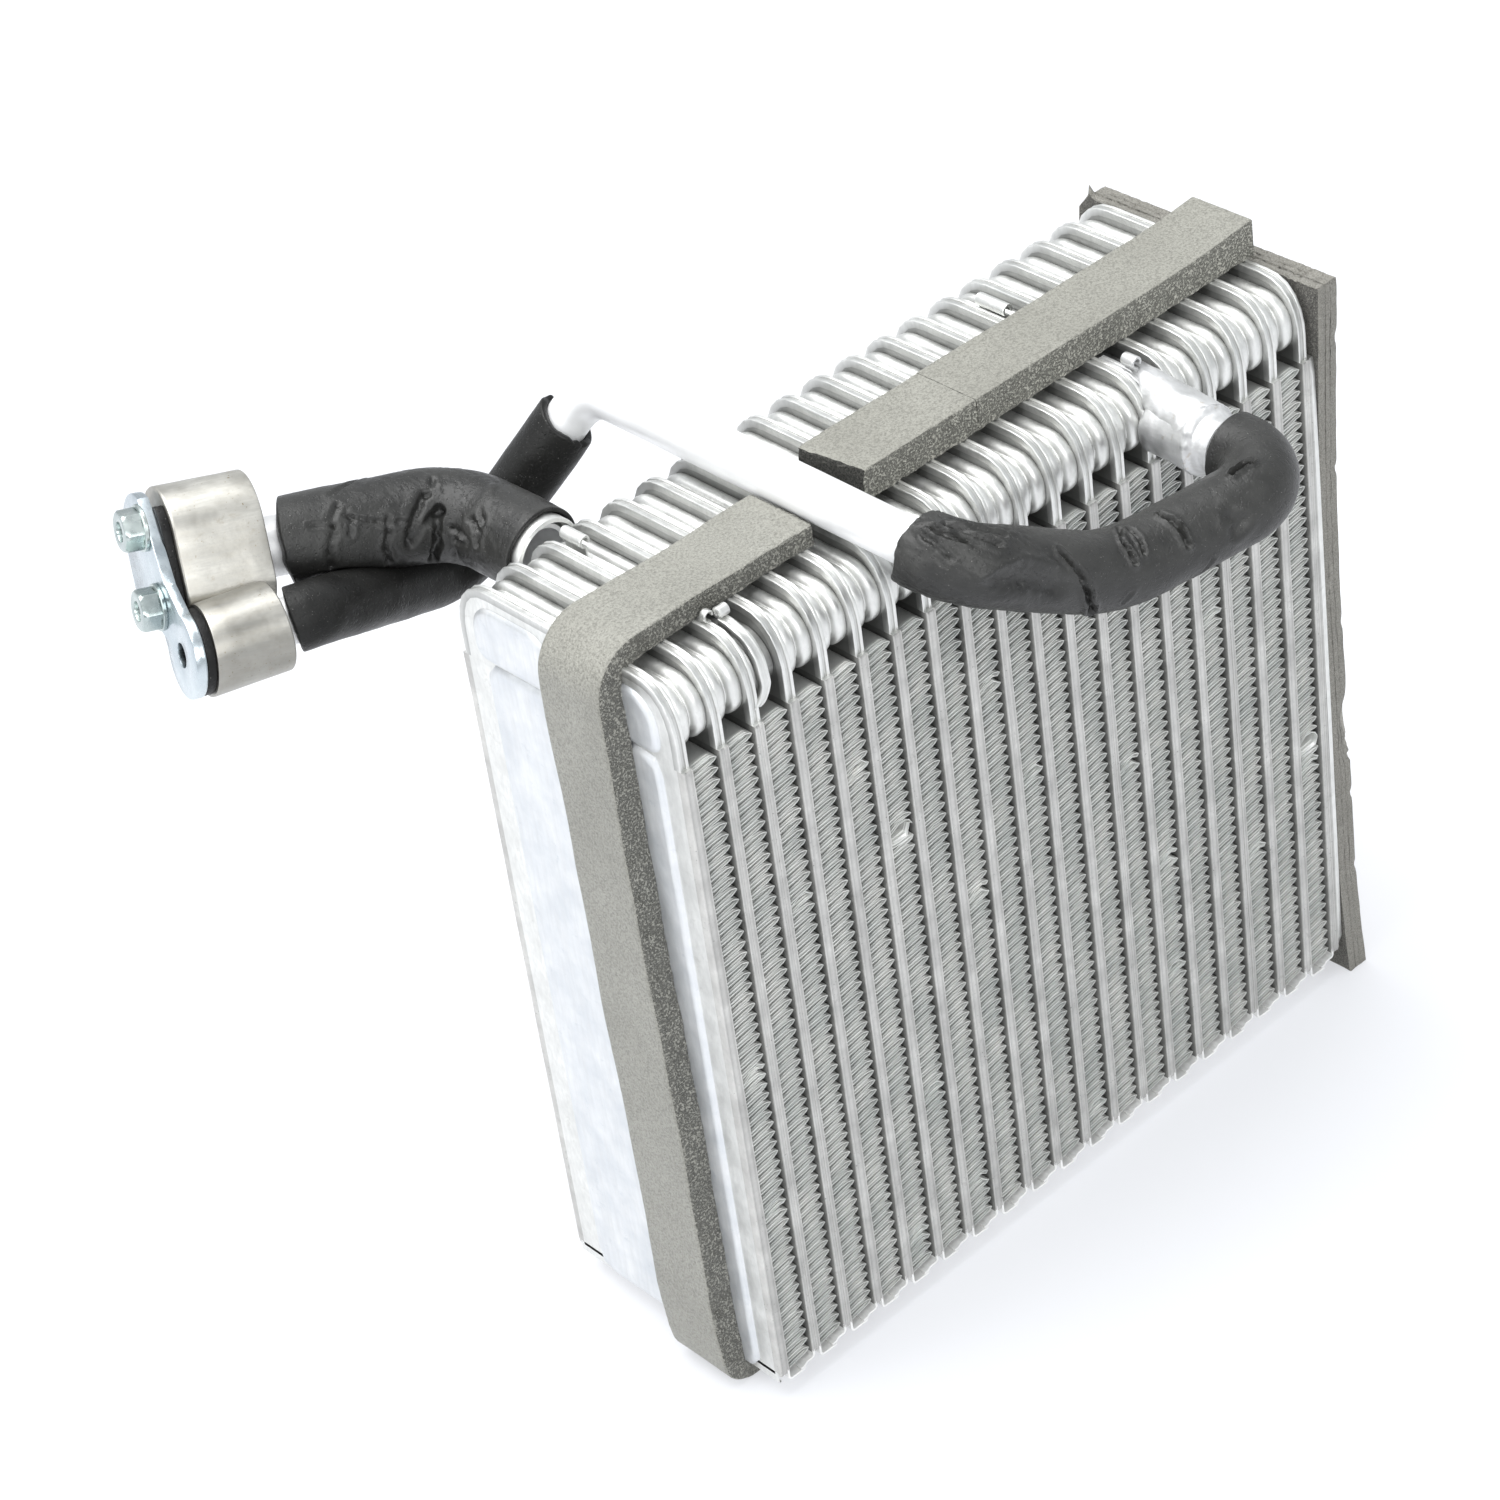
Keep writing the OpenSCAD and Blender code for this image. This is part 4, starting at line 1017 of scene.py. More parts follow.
sleeve("foam_sleeve_suction", "suction_sleeve", fillet([[30, 87.2, 223.0], PC, F1 + A1 * 9.3], [19], 18), 12.4, 8.1, (0, 0, 1), suc_off, rng(22), 0.6, 124,
       suc_cut, suc_cut_block, None, [(1.2, 10.9), (1.7, 9.75), (5.0, 9.75), (5.6, 8.1), (12.0, 8.1)])


def rear_off(P_, s, th, L):
    return 0.2 * noise3(P_, 0.05, 4.7, 2) + 0.07 * noise3(P_, 0.16, 6.2, 2)


def rear_cut(nv):
    a = nv @ unit([0.2, 0.75, 0.6])
    return 1.3 * a + 0.3 * np.sin(7 * np.arctan2(nv[:, 0], nv[:, 2]))


sleeve("foam_sleeve_rear", "liquid_sleeve_rear",
       fillet([F2 + A2 * 1.2, LK, JJ, CT - unit(CT - JJ) * 12.2], [12, 18], 18), 8.75, 6.5, (0, 0, 1), rear_off, rng(23), 0.8, 88, rear_cut_block, rear_cut, M_SLEEVE_B)

# ---------------------------------------------------------------- foam
def foam_bar(name, node, path, nrm, y0, y1, thick, r, step_end=(0.4, 0.4), off=None, edge=0.8, slot="strip_foam", ny=20, mat=None, torn_end=False):
    """path: inner line (x, z); nrm: outward unit normals; y0, y1, thick: arrays or numbers along it"""
    n = len(path)
    y0 = np.full(n, float(y0)) if np.isscalar(y0) else y0
    y1 = np.full(n, float(y1)) if np.isscalar(y1) else y1
    th = np.full(n, float(thick)) if np.isscalar(thick) else thick
    sp = Soup()
    # cross-section: u runs 0..1 across the width, v is height as a share of the thickness
    e = edge
    rows, cut = [], []
    dl = np.r_[0, np.cumsum(np.linalg.norm(np.diff(path, axis=0), axis=1))]
    rag0, rag1 = wob(r, n, 0.28, (5, 9, 17, 31, 53, 71)), wob(r, n, 0.28, (4, 8, 19, 37, 59, 83))
    for k in range(n):
        w, t = y1[k] - y0[k], th[k]
        pts, c = [], []
        for a in np.radians([90, 65, 40, 15, 0])[::-1]:
            pts.append((e * (1 - math.cos(a)), t - e * (1 - math.sin(a))))
            c.append(0.75 if a < 0.6 else 0.0)
        for u in np.linspace(e, w - e, ny)[1:-1]:
            pts.append((u, t))
            c.append(0.0)
        for a in np.radians([90, 65, 40, 15, 0]):
            pts.append((w - e * (1 - math.cos(a)), t - e * (1 - math.sin(a))))
            c.append(0.75 if a < 0.6 else 0.0)
        for v in np.linspace(t - e, 0, 6)[1:]:
            pts.append((w, v))
            c.append(1.0)
        pts.append((w * 0.5, 0.0))
        c.append(0.0)
        for v in np.linspace(0, t - e, 6)[:-1]:
            pts.append((0.0, v))
            c.append(1.0)
        pts = np.array(pts)
        ofs = np.where(pts[:, 0] < w * 0.5, rag0[k], rag1[k]) * np.array(c)
        px = path[k][0] + nrm[k][0] * pts[:, 1]
        pz = path[k][1] + nrm[k][1] * pts[:, 1]
        rows.append(np.column_stack([px, y0[k] + pts[:, 0] + ofs, pz]))
        cut.append(c)
    g = np.array(rows)
    P_ = g.reshape(-1, 3)
    disp = 0.16 * noise3(P_, 0.12, 2.2, 2) + 0.07 * noise3(P_, 0.6, 8.1, 1)
    cutf = np.array(cut).reshape(-1)
    disp = disp * (0.5 + cutf)
    if off is not None:
        disp = disp + off(P_, np.repeat(dl, g.shape[1]), cutf)
    N3 = np.zeros_like(P_)
    side = np.tile((np.arange(g.shape[1]) >= 10 + ny - 2) * 1.0, n)
    nn = np.repeat(nrm, g.shape[1], axis=0)
    top = 1 - cutf
    left = (P_[:, 1] < np.repeat((y0 + y1) / 2, g.shape[1])) * 2.0 - 1
    N3[:, 0], N3[:, 2] = nn[:, 0] * top, nn[:, 1] * top
    N3[:, 1] = -left * (1 - top)
    g = (P_ + N3 * disp[:, None]).reshape(g.shape)
    if torn_end:
        # the end was torn off at a slant, its top edge further back
        w = np.clip(1 - (g[:, :, 0] - path[0][0]) / 7.0, 0, 1)
        g[:, :, 0] += w * (np.interp(g[:, :, 1], [y0[0], y1[0]], [2.5, -0.6]) + 0.5 * noise3(g.reshape(-1, 3), 0.4, 6.2, 2).reshape(w.shape) + 0.7 * (g[:, :, 2] > path[0][1] + 7.5))
    sp.grid(g, close_v=True, flip=True, tint_and_shade=np.array(cut))
    for k, fl in ((0, True), (n - 1, False)):
        rim = g[k]
        c = rim.mean(axis=0)
        d = np.array([path[k][0] - path[1 if k == 0 else n - 2][0], 0, path[k][1] - path[1 if k == 0 else n - 2][1]])
        d = unit(d)
        rr = [rim]
        for s, o in ((0.97, 0.15), (0.85, 0.3), (0.6, 0.35), (0.3, 0.4)):
            q = c + (rim - c) * s + d * o * step_end[0 if k == 0 else 1] / 0.4
            q = q + d * (0.35 * noise3(q, 0.5, 3.3, 2))[:, None]
            rr.append(q)
        rr = np.array(rr)
        m = np.ones(rr.shape[:2])
        m[0] = 0.8
        mi = 1 if torn_end and k == 0 else 0
        sp.grid(rr, close_v=True, flip=fl, tint_and_shade=m, mi=mi)
        nn_ = rr.shape[1]
        f = [(j, (j + 1) % nn_, nn_) for j in range(nn_)]
        sp.add(np.vstack([rr[-1], rr[-1].mean(axis=0)[None]]), [q_[::-1] for q_ in f] if fl else f, mi, 1.0)
    return sp.out(name, [mat or M_STRIP, M_TORN], slot, (node,), 60, key="cut")


def tape():
    r = rng(31)
    t = 5.55
    xi, zt, zb = -2.65, 235.05, -0.4
    # inner line with rounded corners, from the top right end to the bottom right end
    top = np.column_stack([np.linspace(64.0, xi + 7.4, 62), np.full(62, zt)])
    c1 = arcp(xi + 7.4, zt - 7.4, 7.4, 90, 180, 14)[1:]
    left = np.column_stack([np.full(180, xi), np.linspace(zt - 7.4, zb + 3.4, 182)[1:-1]])
    c2 = arcp(xi + 3.4, zb + 3.4, 3.4, 180, 270, 9)
    bot = np.column_stack([np.linspace(xi + 3.4, 58.0, 56)[1:], np.full(55, zb)])
    path = np.vstack([top, c1, left, c2, bot])
    nr = np.vstack([np.tile([0, 1.0], (len(top), 1)), np.column_stack([np.cos(np.radians(np.linspace(90, 180, 15)[1:])), np.sin(np.radians(np.linspace(90, 180, 15)[1:]))]),
                    np.tile([-1.0, 0], (len(left), 1)), np.column_stack([np.cos(np.radians(np.linspace(180, 270, 10))), np.sin(np.radians(np.linspace(180, 270, 10)))]),
                    np.tile([0, -1.0], (len(bot), 1))])
    z = path[:, 1]
    drift = np.interp(z, [0, 120, 235], [-4.6, -2.3, 0.0])
    y0 = 18.5 + drift
    y1 = 41.2 + drift
    # the foam is less squeezed down the flat side
    k = np.arange(len(path))
    t = np.interp(k, [0, 40, 61, 78, 96, 240, 253, 262, len(path)], [5.8, 6.3, 6.7, 7.6, 7.9, 7.9, 7.2, 5.55, 5.55])
    y0 = y0 + 0.35 * np.sin(k / 17.0) + 0.2 * np.sin(k / 5.3)
    y1 = y1 + 0.35 * np.sin(k / 13.0 + 2) + 0.2 * np.sin(k / 6.1)

    def off(P_, s, cutf):
        o = np.zeros(len(P_))
        for (a, b, w, d) in (((-8.2, 18, 168), (-8.2, 27, 163), 1.3, 0.9), ((-8.2, 15, 158), (-8.2, 24, 151), 1.0, 0.6),
                             ((-8.2, 15, 24), (-8.2, 26, 19), 1.2, 0.8), ((52, 19, 240.6), (58, 24, 240.6), 0.8, 0.5),
                             ((60, 19, 240.6), (62, 30, 240.6), 0.7, 0.4)):
            q, _ = seg_dist(P_, a, b)
            o -= d * np.exp(-(q / w) ** 2)
        return o
    return foam_bar("foam_tape", "foam_tape_left", path, nr, y0, y1, t, r, (0.8, 0.4), off, mat=M_TAPE)


tape()


def top_strip(name, node, x0, x1, seed, torn):
    r = rng(seed)
    n = int((x1 - x0) / 1.1) + 1
    x = np.linspace(x0, x1, n)
    path = np.column_stack([x, np.full(n, 235.06)])
    nr = np.tile([0, 1.0], (n, 1))
    k = np.arange(n)
    y0 = 21.15 + 0.12 * np.sin(k / 11.0)
    y1 = 42.85 + 0.12 * np.sin(k / 9.0 + 1)
    th = 9.4 + 1.5 * np.clip((x - 205.0) / 26.0, 0, 1) ** 1.5

    def off(P_, s, cutf):
        o = np.zeros(len(P_))
        if torn:
            o -= 0.55 * np.exp(-((P_[:, 0] - x0) / 1.1) ** 2) * (0.6 + 0.6 * noise3(P_, 0.35, 5.0, 2))
        return o
    return foam_bar(name, node, path, nr, y0, y1, th, r, (0.5 if torn else 0.0, 0.0), off, 0.45, torn_end=torn)


top_strip("foam_top_a", "foam_strip_top_left", 82.9, 125.8, 41, True)
top_strip("foam_top_b", "foam_strip_top_right", 126.0, 232.3, 42, False)


def pad():
    r = rng(51)
    sp = Soup()
    ztop = 233.3

    def front(z):
        # the front edge stands proud at the top and bottom corners and is pressed flush between
        return np.interp(z, [-6, 8, 30, 60, 100, 130, 160, 190, 208, 222, 234], [-2.3, -1.2, 0.0, 0.25, 0.7, 1.2, 0.9, -0.3, -1.2, -2.0, -2.4])
    zz = np.linspace(ztop, -5.9, 190)
    out = [(float(front(z)), z) for z in zz] + [(y, -5.9) for y in np.linspace(-2.3, 88.9, 60)[1:]]
    out += [(float(np.interp(z, [200, 229], [88.9, 86.2])), z) for z in np.linspace(-5.9, 228.6, 110)[1:]] + [(85.2, 230.0), (84.0, 231.4), (82.8, 232.6)]
    out += [(y, ztop) for y in np.linspace(82.0, -2.4, 110)[:-1]]
    out = np.array(out)
    n = len(out)
    c = np.array([43.0, 112.0])
    t = np.gradient(np.vstack([out[-1:], out, out[:1]]), axis=0)[1:-1]
    nr = np.column_stack([-t[:, 1], t[:, 0]])
    nr /= np.maximum(np.linalg.norm(nr, axis=1), 1e-9)[:, None]
    nr *= np.sign(((c - out) * nr).sum(axis=1))[:, None]      # inward
    onfront = np.arange(n) < 190
    ontop = out[:, 1] > ztop - 4.2
    xa, xb = 231.58, 238.92
    prof = [(xa, 0.35), (xa + 0.15, 0.12), (xa + 0.5, 0.02), (xa + 1.5, 0.04), (xa + 2.45, 0.06), (xa + 2.6, 0.3), (xa + 2.75, 0.06), (xa + 3.7, 0.04),
            (xa + 4.5, 0.08), (xa + 4.62, 0.26), (xa + 4.75, 0.06), (xb - 1.0, 0.04), (xb - 0.4, 0.06), (xb - 0.12, 0.2), (xb, 0.5)]
    dash = np.array([noise.noise(Vector((0.0, a * 0.9, b * 0.9))) for a, b in out])
    # torn edges: the top is ragged, its rear corner keeps one thin spike
    tear = np.zeros(n)
    for q in range(n):
        y, z = out[q]
        if z > ztop - 0.6:
            tear[q] = 0.9 * max(0.0, noise.noise(Vector((y * 0.55, 3.0, 0.0)))) + 0.9 * max(0.0, noise.noise(Vector((y * 1.7, 9.0, 0.0)))) + 0.35
            tear[q] -= 2.6 * math.exp(-((y - 0.8) / 1.0) ** 2) * 0.0
    rows, cut = [], []
    for j, (x, s) in enumerate(prof):
        w = wob(r, n, 0.16, (7, 13, 29, 41, 67, 97, 131))
        q = out + nr * (s + 0.1 + w + tear * (0.55 + 0.45 * math.sin(j * 1.9)))[:, None]
        sp_k = max(0.0, 1 - abs(x - xa - 0.7) / 1.3)
        k = int(np.argmin(np.abs(out[:, 0] - 81.6) + 100.0 * (out[:, 1] < ztop - 0.1)))
        for dk_, am in ((-2, 0.5), (-1, 1.6), (0, 4.6), (1, 1.3), (2, 0.4)):
            q[k + dk_] += [0.12 * am, am * sp_k]
        xx = np.full(n, x) + wob(r, n, 0.10, (5, 11, 23, 47)) * (0 < j < len(prof) - 1)
        # nicks and bites in the outer edge
        for zc, h, d in ((171.0, 1.6, 0.6), (84.5, 7.0, 2.3), (75.5, 1.6, 1.5), (71.0, 1.2, 1.3), (57.0, 1.6, 0.6), (118.0, 1.6, 0.4), (214.0, 2.2, 0.5), (30.0, 1.4, 0.5)):
            g = np.exp(-(np.abs(out[:, 1] - zc) / h) ** 2.4) * onfront
            k = np.clip((x - xa - 3.0) / (xb - xa - 3.0), 0, 1)
            xx -= d * g * k * 0.9
            q[:, 0] += d * g * k * 0.5
        rows.append(np.column_stack([np.clip(xx, xa, xb), q[:, 0], q[:, 1]]))
        c_ = np.full(n, 0.22)
        if j in (5, 9):
            c_ = np.clip(0.35 + 1.6 * dash, 0.2, 1.0)
        cut.append(c_)
    g = np.array(rows)
    sp.grid(g, close_v=True, flip=True, tint_and_shade=np.array(cut))
    for k, x, fl in ((0, xa, True), (len(prof) - 1, xb, False)):
        rr = [g[k]]
        for s in (0.985, 0.93, 0.8, 0.6, 0.35, 0.12):
            q = g[k].copy()
            q[:, 1] = c[0] + (q[:, 1] - c[0]) * s
            q[:, 2] = c[1] + (q[:, 2] - c[1]) * s
            q[:, 2] = np.minimum(q[:, 2], ztop - 0.3)
            q[:, 0] = x - (0.25 if k else -0.0) * (0.5 + 0.5 * noise3(q, 0.08, 1.0, 1)) * (s < 0.98)
            rr.append(q)
        rr = np.array(rr)
        # painted shade: the inner end face is dark
        sp.grid(rr, close_v=True, flip=fl, tint_and_shade=0.9 if k == 0 else 0.0)
        f = [(j, (j + 1) % n, n) for j in range(n)]
        sp.add(np.vstack([rr[-1], rr[-1].mean(axis=0)[None]]), [q_[::-1] for q_ in f] if fl else f, 0, 0.0)
    return sp.out("foam_pad", [M_PAD], "strip_foam", ("foam_pad_right",), 60, key="cut")


pad()


# ---------------------------------------------------------------- inserts and fittings
def band(sp, front, col, r, z_lip=False):
    """closed insert between two plates: a rounded band with two raised beads"""
    dull = 0.42 if front else 0.15
    base = [(1.72, 0.25), (2.2, 0.0), (2.9, -0.05), (3.4, 0.35), (4.3, 0.5), (5.2, 0.35), (6.0, 0.05), (6.8, 0.35), (7.7, 0.5),
            (8.6, 0.35), (9.1, -0.05), (9.8, 0.0), (10.28, 0.25)]
    if front:
        base = base[:7] + [(6.6, 1.1), (7.0, 1.5), (8.2, 1.6), (9.4, 1.6), (10.28, 1.6)]
    rows = []
    for x, s in base:
        y0, y1 = 2.7 + s, 40.3 - s
        if not front:
            y0, y1 = D - y1, D - y0
        rows.append(to3(rr_loop(y0, y1, 213.1 + s, 231.5 - s, 9.2, 7, 9), x))
    g = np.array(rows)
    g[:, :, 0] += P * col
    dull = np.array([dull + (0.2 if front and x > 6.3 else 0.0) for x, _ in base])[:, None] * np.ones(g.shape[:2])
    sp.grid(g, close_v=True, flip=False, tint_and_shade=dull)
    for k, fl in ((0, True), (len(base) - 1, False)):
        sp.cap(g[k], tint_and_shade=0.3, flip=not fl)


def loose_band(sp, col, x0, x1, r):
    """free half-round strip that runs over the front of a blank cap"""
    e = np.array([(2.6, 216.2), (1.35, 218.6), (1.3, 221.8), (1.9, 225.6), (3.5, 229.4), (6.1, 232.2), (9.3, 233.7), (13.0, 234.3), (20.5, 234.5)])
    rows = []
    for x, s in ((x0, 0.9), (x0 + 0.05, 0.3), (x0 + 0.35, 0.02), (x0 + 1.0, 0.0), ((x0 + x1) / 2, 0.22), (x1 - 1.0, 0.0), (x1 - 0.35, 0.02), (x1 - 0.05, 0.3), (x1, 0.9)):
        t = np.gradient(e, axis=0)
        nr = np.column_stack([t[:, 1], -t[:, 0]])
        nr /= np.linalg.norm(nr, axis=1)[:, None]
        q = e + nr * s
        rows.append(to3(q, x + P * col))
    g = np.array(rows)
    sp.grid(g, flip=False)
    inn = g[[0, -1]].copy()
    inn[:, :, 0] = g[[0, -1]][:, :, 0]
    sp.grid(np.array([g[0], g[-1]]), flip=True)


def roll_tab(sp, x, y0, y1, r, open_roll=True):
    """tab rolled over on itself: blade, then a curl drawn as a spiral sheet"""
    th = np.radians(np.linspace(-90, 215, 22))
    rad = np.linspace(1.62, 1.25, 22)
    cx, cz = x, 236.6
    curl = np.column_stack([cx + rad * np.sin(th + np.pi / 2) * -1, cz + rad * np.cos(th + np.pi / 2) * -1])
    blade = np.array([(curl[0, 0], 231.4), (curl[0, 0], 233.5)])
    line = np.vstack([blade, curl])
    tg = np.gradient(line, axis=0)
    nr = np.column_stack([-tg[:, 1], tg[:, 0]])
    nr /= np.linalg.norm(nr, axis=1)[:, None]
    A, B = line + nr * 0.38, line - nr * 0.38
    loop = np.vstack([A, B[::-1]])
    rows = []
    for y, s in ((y0, 0.75), (y0 + 0.25, 1.0), (y0 + 0.6, 1.02), ((y0 + y1) / 2, 1.0), (y1 - 0.5, 1.0), (y1, 0.8)):
        m = np.repeat(line[np.r_[0:len(line), len(line) - 1:-1:-1]], 1, axis=0) if False else np.vstack([line, line[::-1]])
        q = m + (loop - m) * s
        rows.append(np.column_stack([q[:, 0], np.full(len(q), y), q[:, 1]]))
    g = np.array(rows)
    sp.grid(g, close_v=True, flip=True)
    sp.cap(g[0])
    sp.cap(g[-1], flip=True)


def revolve(sp, prof, cen, axis, up, n=56, off=None, tint_and_shade=None, close=False):
    """prof: list of (distance along the axis, radius)"""
    ax = unit(axis)
    u = unit(np.asarray(up, float) - ax * (np.asarray(up, float) @ ax))
    v = np.cross(ax, u)
    th = np.linspace(0, 2 * np.pi, n, endpoint=False)
    rows = []
    for k, (d, rad) in enumerate(prof):
        rr = rad + (off(d, th, rad) if off is not None else 0)
        rows.append(np.asarray(cen) + ax * d + (np.cos(th)[:, None] * u + np.sin(th)[:, None] * v) * (rr if np.isscalar(rr) else rr[:, None]))
    g = np.array(rows)
    dd = 0.0
    if callable(tint_and_shade):
        dd = np.array([tint_and_shade(d, th) for d, _ in prof])
    elif tint_and_shade is not None:
        dd = np.repeat(np.asarray(tint_and_shade, float)[:, None], n, axis=1)
    sp.grid(g, close_v=True, flip=False, tint_and_shade=dd)
    return g


def strap(sp, x0, x1, r):
    """thick free strap over the front of a blank cap, its lower end curled in"""
    e = np.array([(3.4, 213.9), (2.3, 213.7), (1.2, 214.5), (0.62, 216.2), (0.5, 218.6), (0.62, 221.6), (1.1, 224.9), (2.2, 228.2), (4.0, 231.1), (6.6, 233.2), (9.6, 234.4), (12.0, 234.9), (14.3, 235.1)])
    d = np.r_[0, np.cumsum(np.linalg.norm(np.diff(e, axis=0), axis=1))]
    tt = np.linspace(0, d[-1], 46)
    e = np.column_stack([np.interp(tt, d, e[:, k]) for k in (0, 1)])
    k_ = np.array([0.25, 0.5, 0.25])
    for _ in range(3):
        e[1:-1] = np.column_stack([np.convolve(e[:, k], k_, "valid") for k in (0, 1)])
    t = np.gradient(e, axis=0)
    nr = np.column_stack([t[:, 1], -t[:, 0]])
    nr /= np.linalg.norm(nr, axis=1)[:, None]
    edge = 0.10 * np.sin(tt / 3.1 + r.uniform(0, 6)) + 0.05 * np.sin(tt / 1.1)
    rows, tint_and_shade = [], []
    w = x1 - x0
    for x, s, dd in ((x0, 1.75, 0.8), (x0, 0.42, 0.2), (x0 + 0.1, 0.12, 0), (x0 + 0.36, 0.0, 0), (x0 + 0.8, 0.05, 0), (x0 + 1.0, 0.26, 0.12), (x0 + w / 2, 0.34, 0.06), (x1 - 1.0, 0.26, 0.12),
                     (x1 - 0.8, 0.05, 0), (x1 - 0.36, 0.0, 0), (x1 - 0.1, 0.12, 0), (x1, 0.42, 0.2), (x1, 1.75, 0.8)):
        g = to3(e + nr * s, x)
        g[:, 0] += edge - 3.0 * np.clip((220.5 - e[:, 1]) / 6.0, 0, 1.2) ** 1.4
        rows.append(g)
        tint_and_shade.append(np.full(len(e), float(dd)))
    g = np.array(rows)
    sp.grid(g, close_u=True, flip=False, tint_and_shade=np.array(tint_and_shade))
    sp.cap(g[:, 0], flip=False)
    sp.cap(g[:, -1], flip=True)


def small_curl(sp, x, y0, y1, z, rad, r):
    th = np.radians(np.linspace(-100, 190, 18))
    rr = np.linspace(rad, rad * 0.72, 18)
    line = np.column_stack([x - rr * np.cos(th), z + rr * np.sin(th)])
    tg = np.gradient(line, axis=0)
    nr = np.column_stack([-tg[:, 1], tg[:, 0]])
    nr /= np.linalg.norm(nr, axis=1)[:, None]
    both = np.vstack([line, line[::-1]])
    loop = np.vstack([line + nr * 0.3, (line - nr * 0.3)[::-1]])
    rows = []
    for y, s in ((y0, 0.5), (y0 + 0.15, 0.9), (y0 + 0.4, 1.0), (y1 - 0.4, 1.0), (y1 - 0.15, 0.9), (y1, 0.5)):
        q = both + (loop - both) * s
        rows.append(np.column_stack([q[:, 0], np.full(len(q), y), q[:, 1]]))
    g = np.array(rows)
    sp.grid(g, close_v=True, flip=True)
    sp.cap(g[0])
    sp.cap(g[-1], flip=True)


def cap_front():
    sp = Soup()
    r = rng(61)
    band(sp, True, 2, r)
    strap(sp, 27.0, 30.1, r)
    # top end of the strap rolled on itself, and a loose curl beside it
    g = revolve(sp, [(0.5, 0.5), (0.0, 0.6), (0.0, 1.35), (0.15, 1.6), (0.5, 1.65), (1.6, 1.55), (2.8, 1.65), (3.3, 1.6), (3.45, 1.35), (3.45, 0.6), (2.9, 0.5)],
                (27.1, 14.7, 236.5), (1, 0, 0), (0, 0, 1), 28)
    # the sunk ends of the roll's core are painted dark as shade
    sp.cap(g[0], tint_and_shade=0.7, flip=True)
    sp.cap(g[-1], tint_and_shade=0.7)
    small_curl(sp, 25.5, 15.4, 17.4, 236.3, 1.6, r)
    return sp.out("cap_band_front", [M_PLATE], "plate_alloy", ("blank_cap_front",), 35)


def cap_rear():
    sp = Soup()
    r = rng(62)
    band(sp, False, 14, r)
    roll_tab(sp, 171, 54.1, 64.9, r)
    return sp.out("cap_band_rear", [M_PLATE], "plate_alloy", ("blank_cap_rear",), 35)


def outlet():
    sp = Soup()
    r = rng(63)
    band(sp, False, 2, r)
    roll_tab(sp, 28, 64.5, 72.5, r)
    revolve(sp, [(0, 9.5), (0.4, 10.4), (0.9, 10.6), (4.2, 10.6), (4.8, 10.4), (5.0, 9.9), (5.3, 9.4), (8.0, 9.4), (8.35, 9.2), (8.4, 8.6), (8.4, 8.0)],
            (30, 83.3, 223), (0, 1, 0), (0, 0, 1))
    return sp.out("outlet_collar", [M_PLATE], "plate_alloy", ("outlet_fitting",), 35)


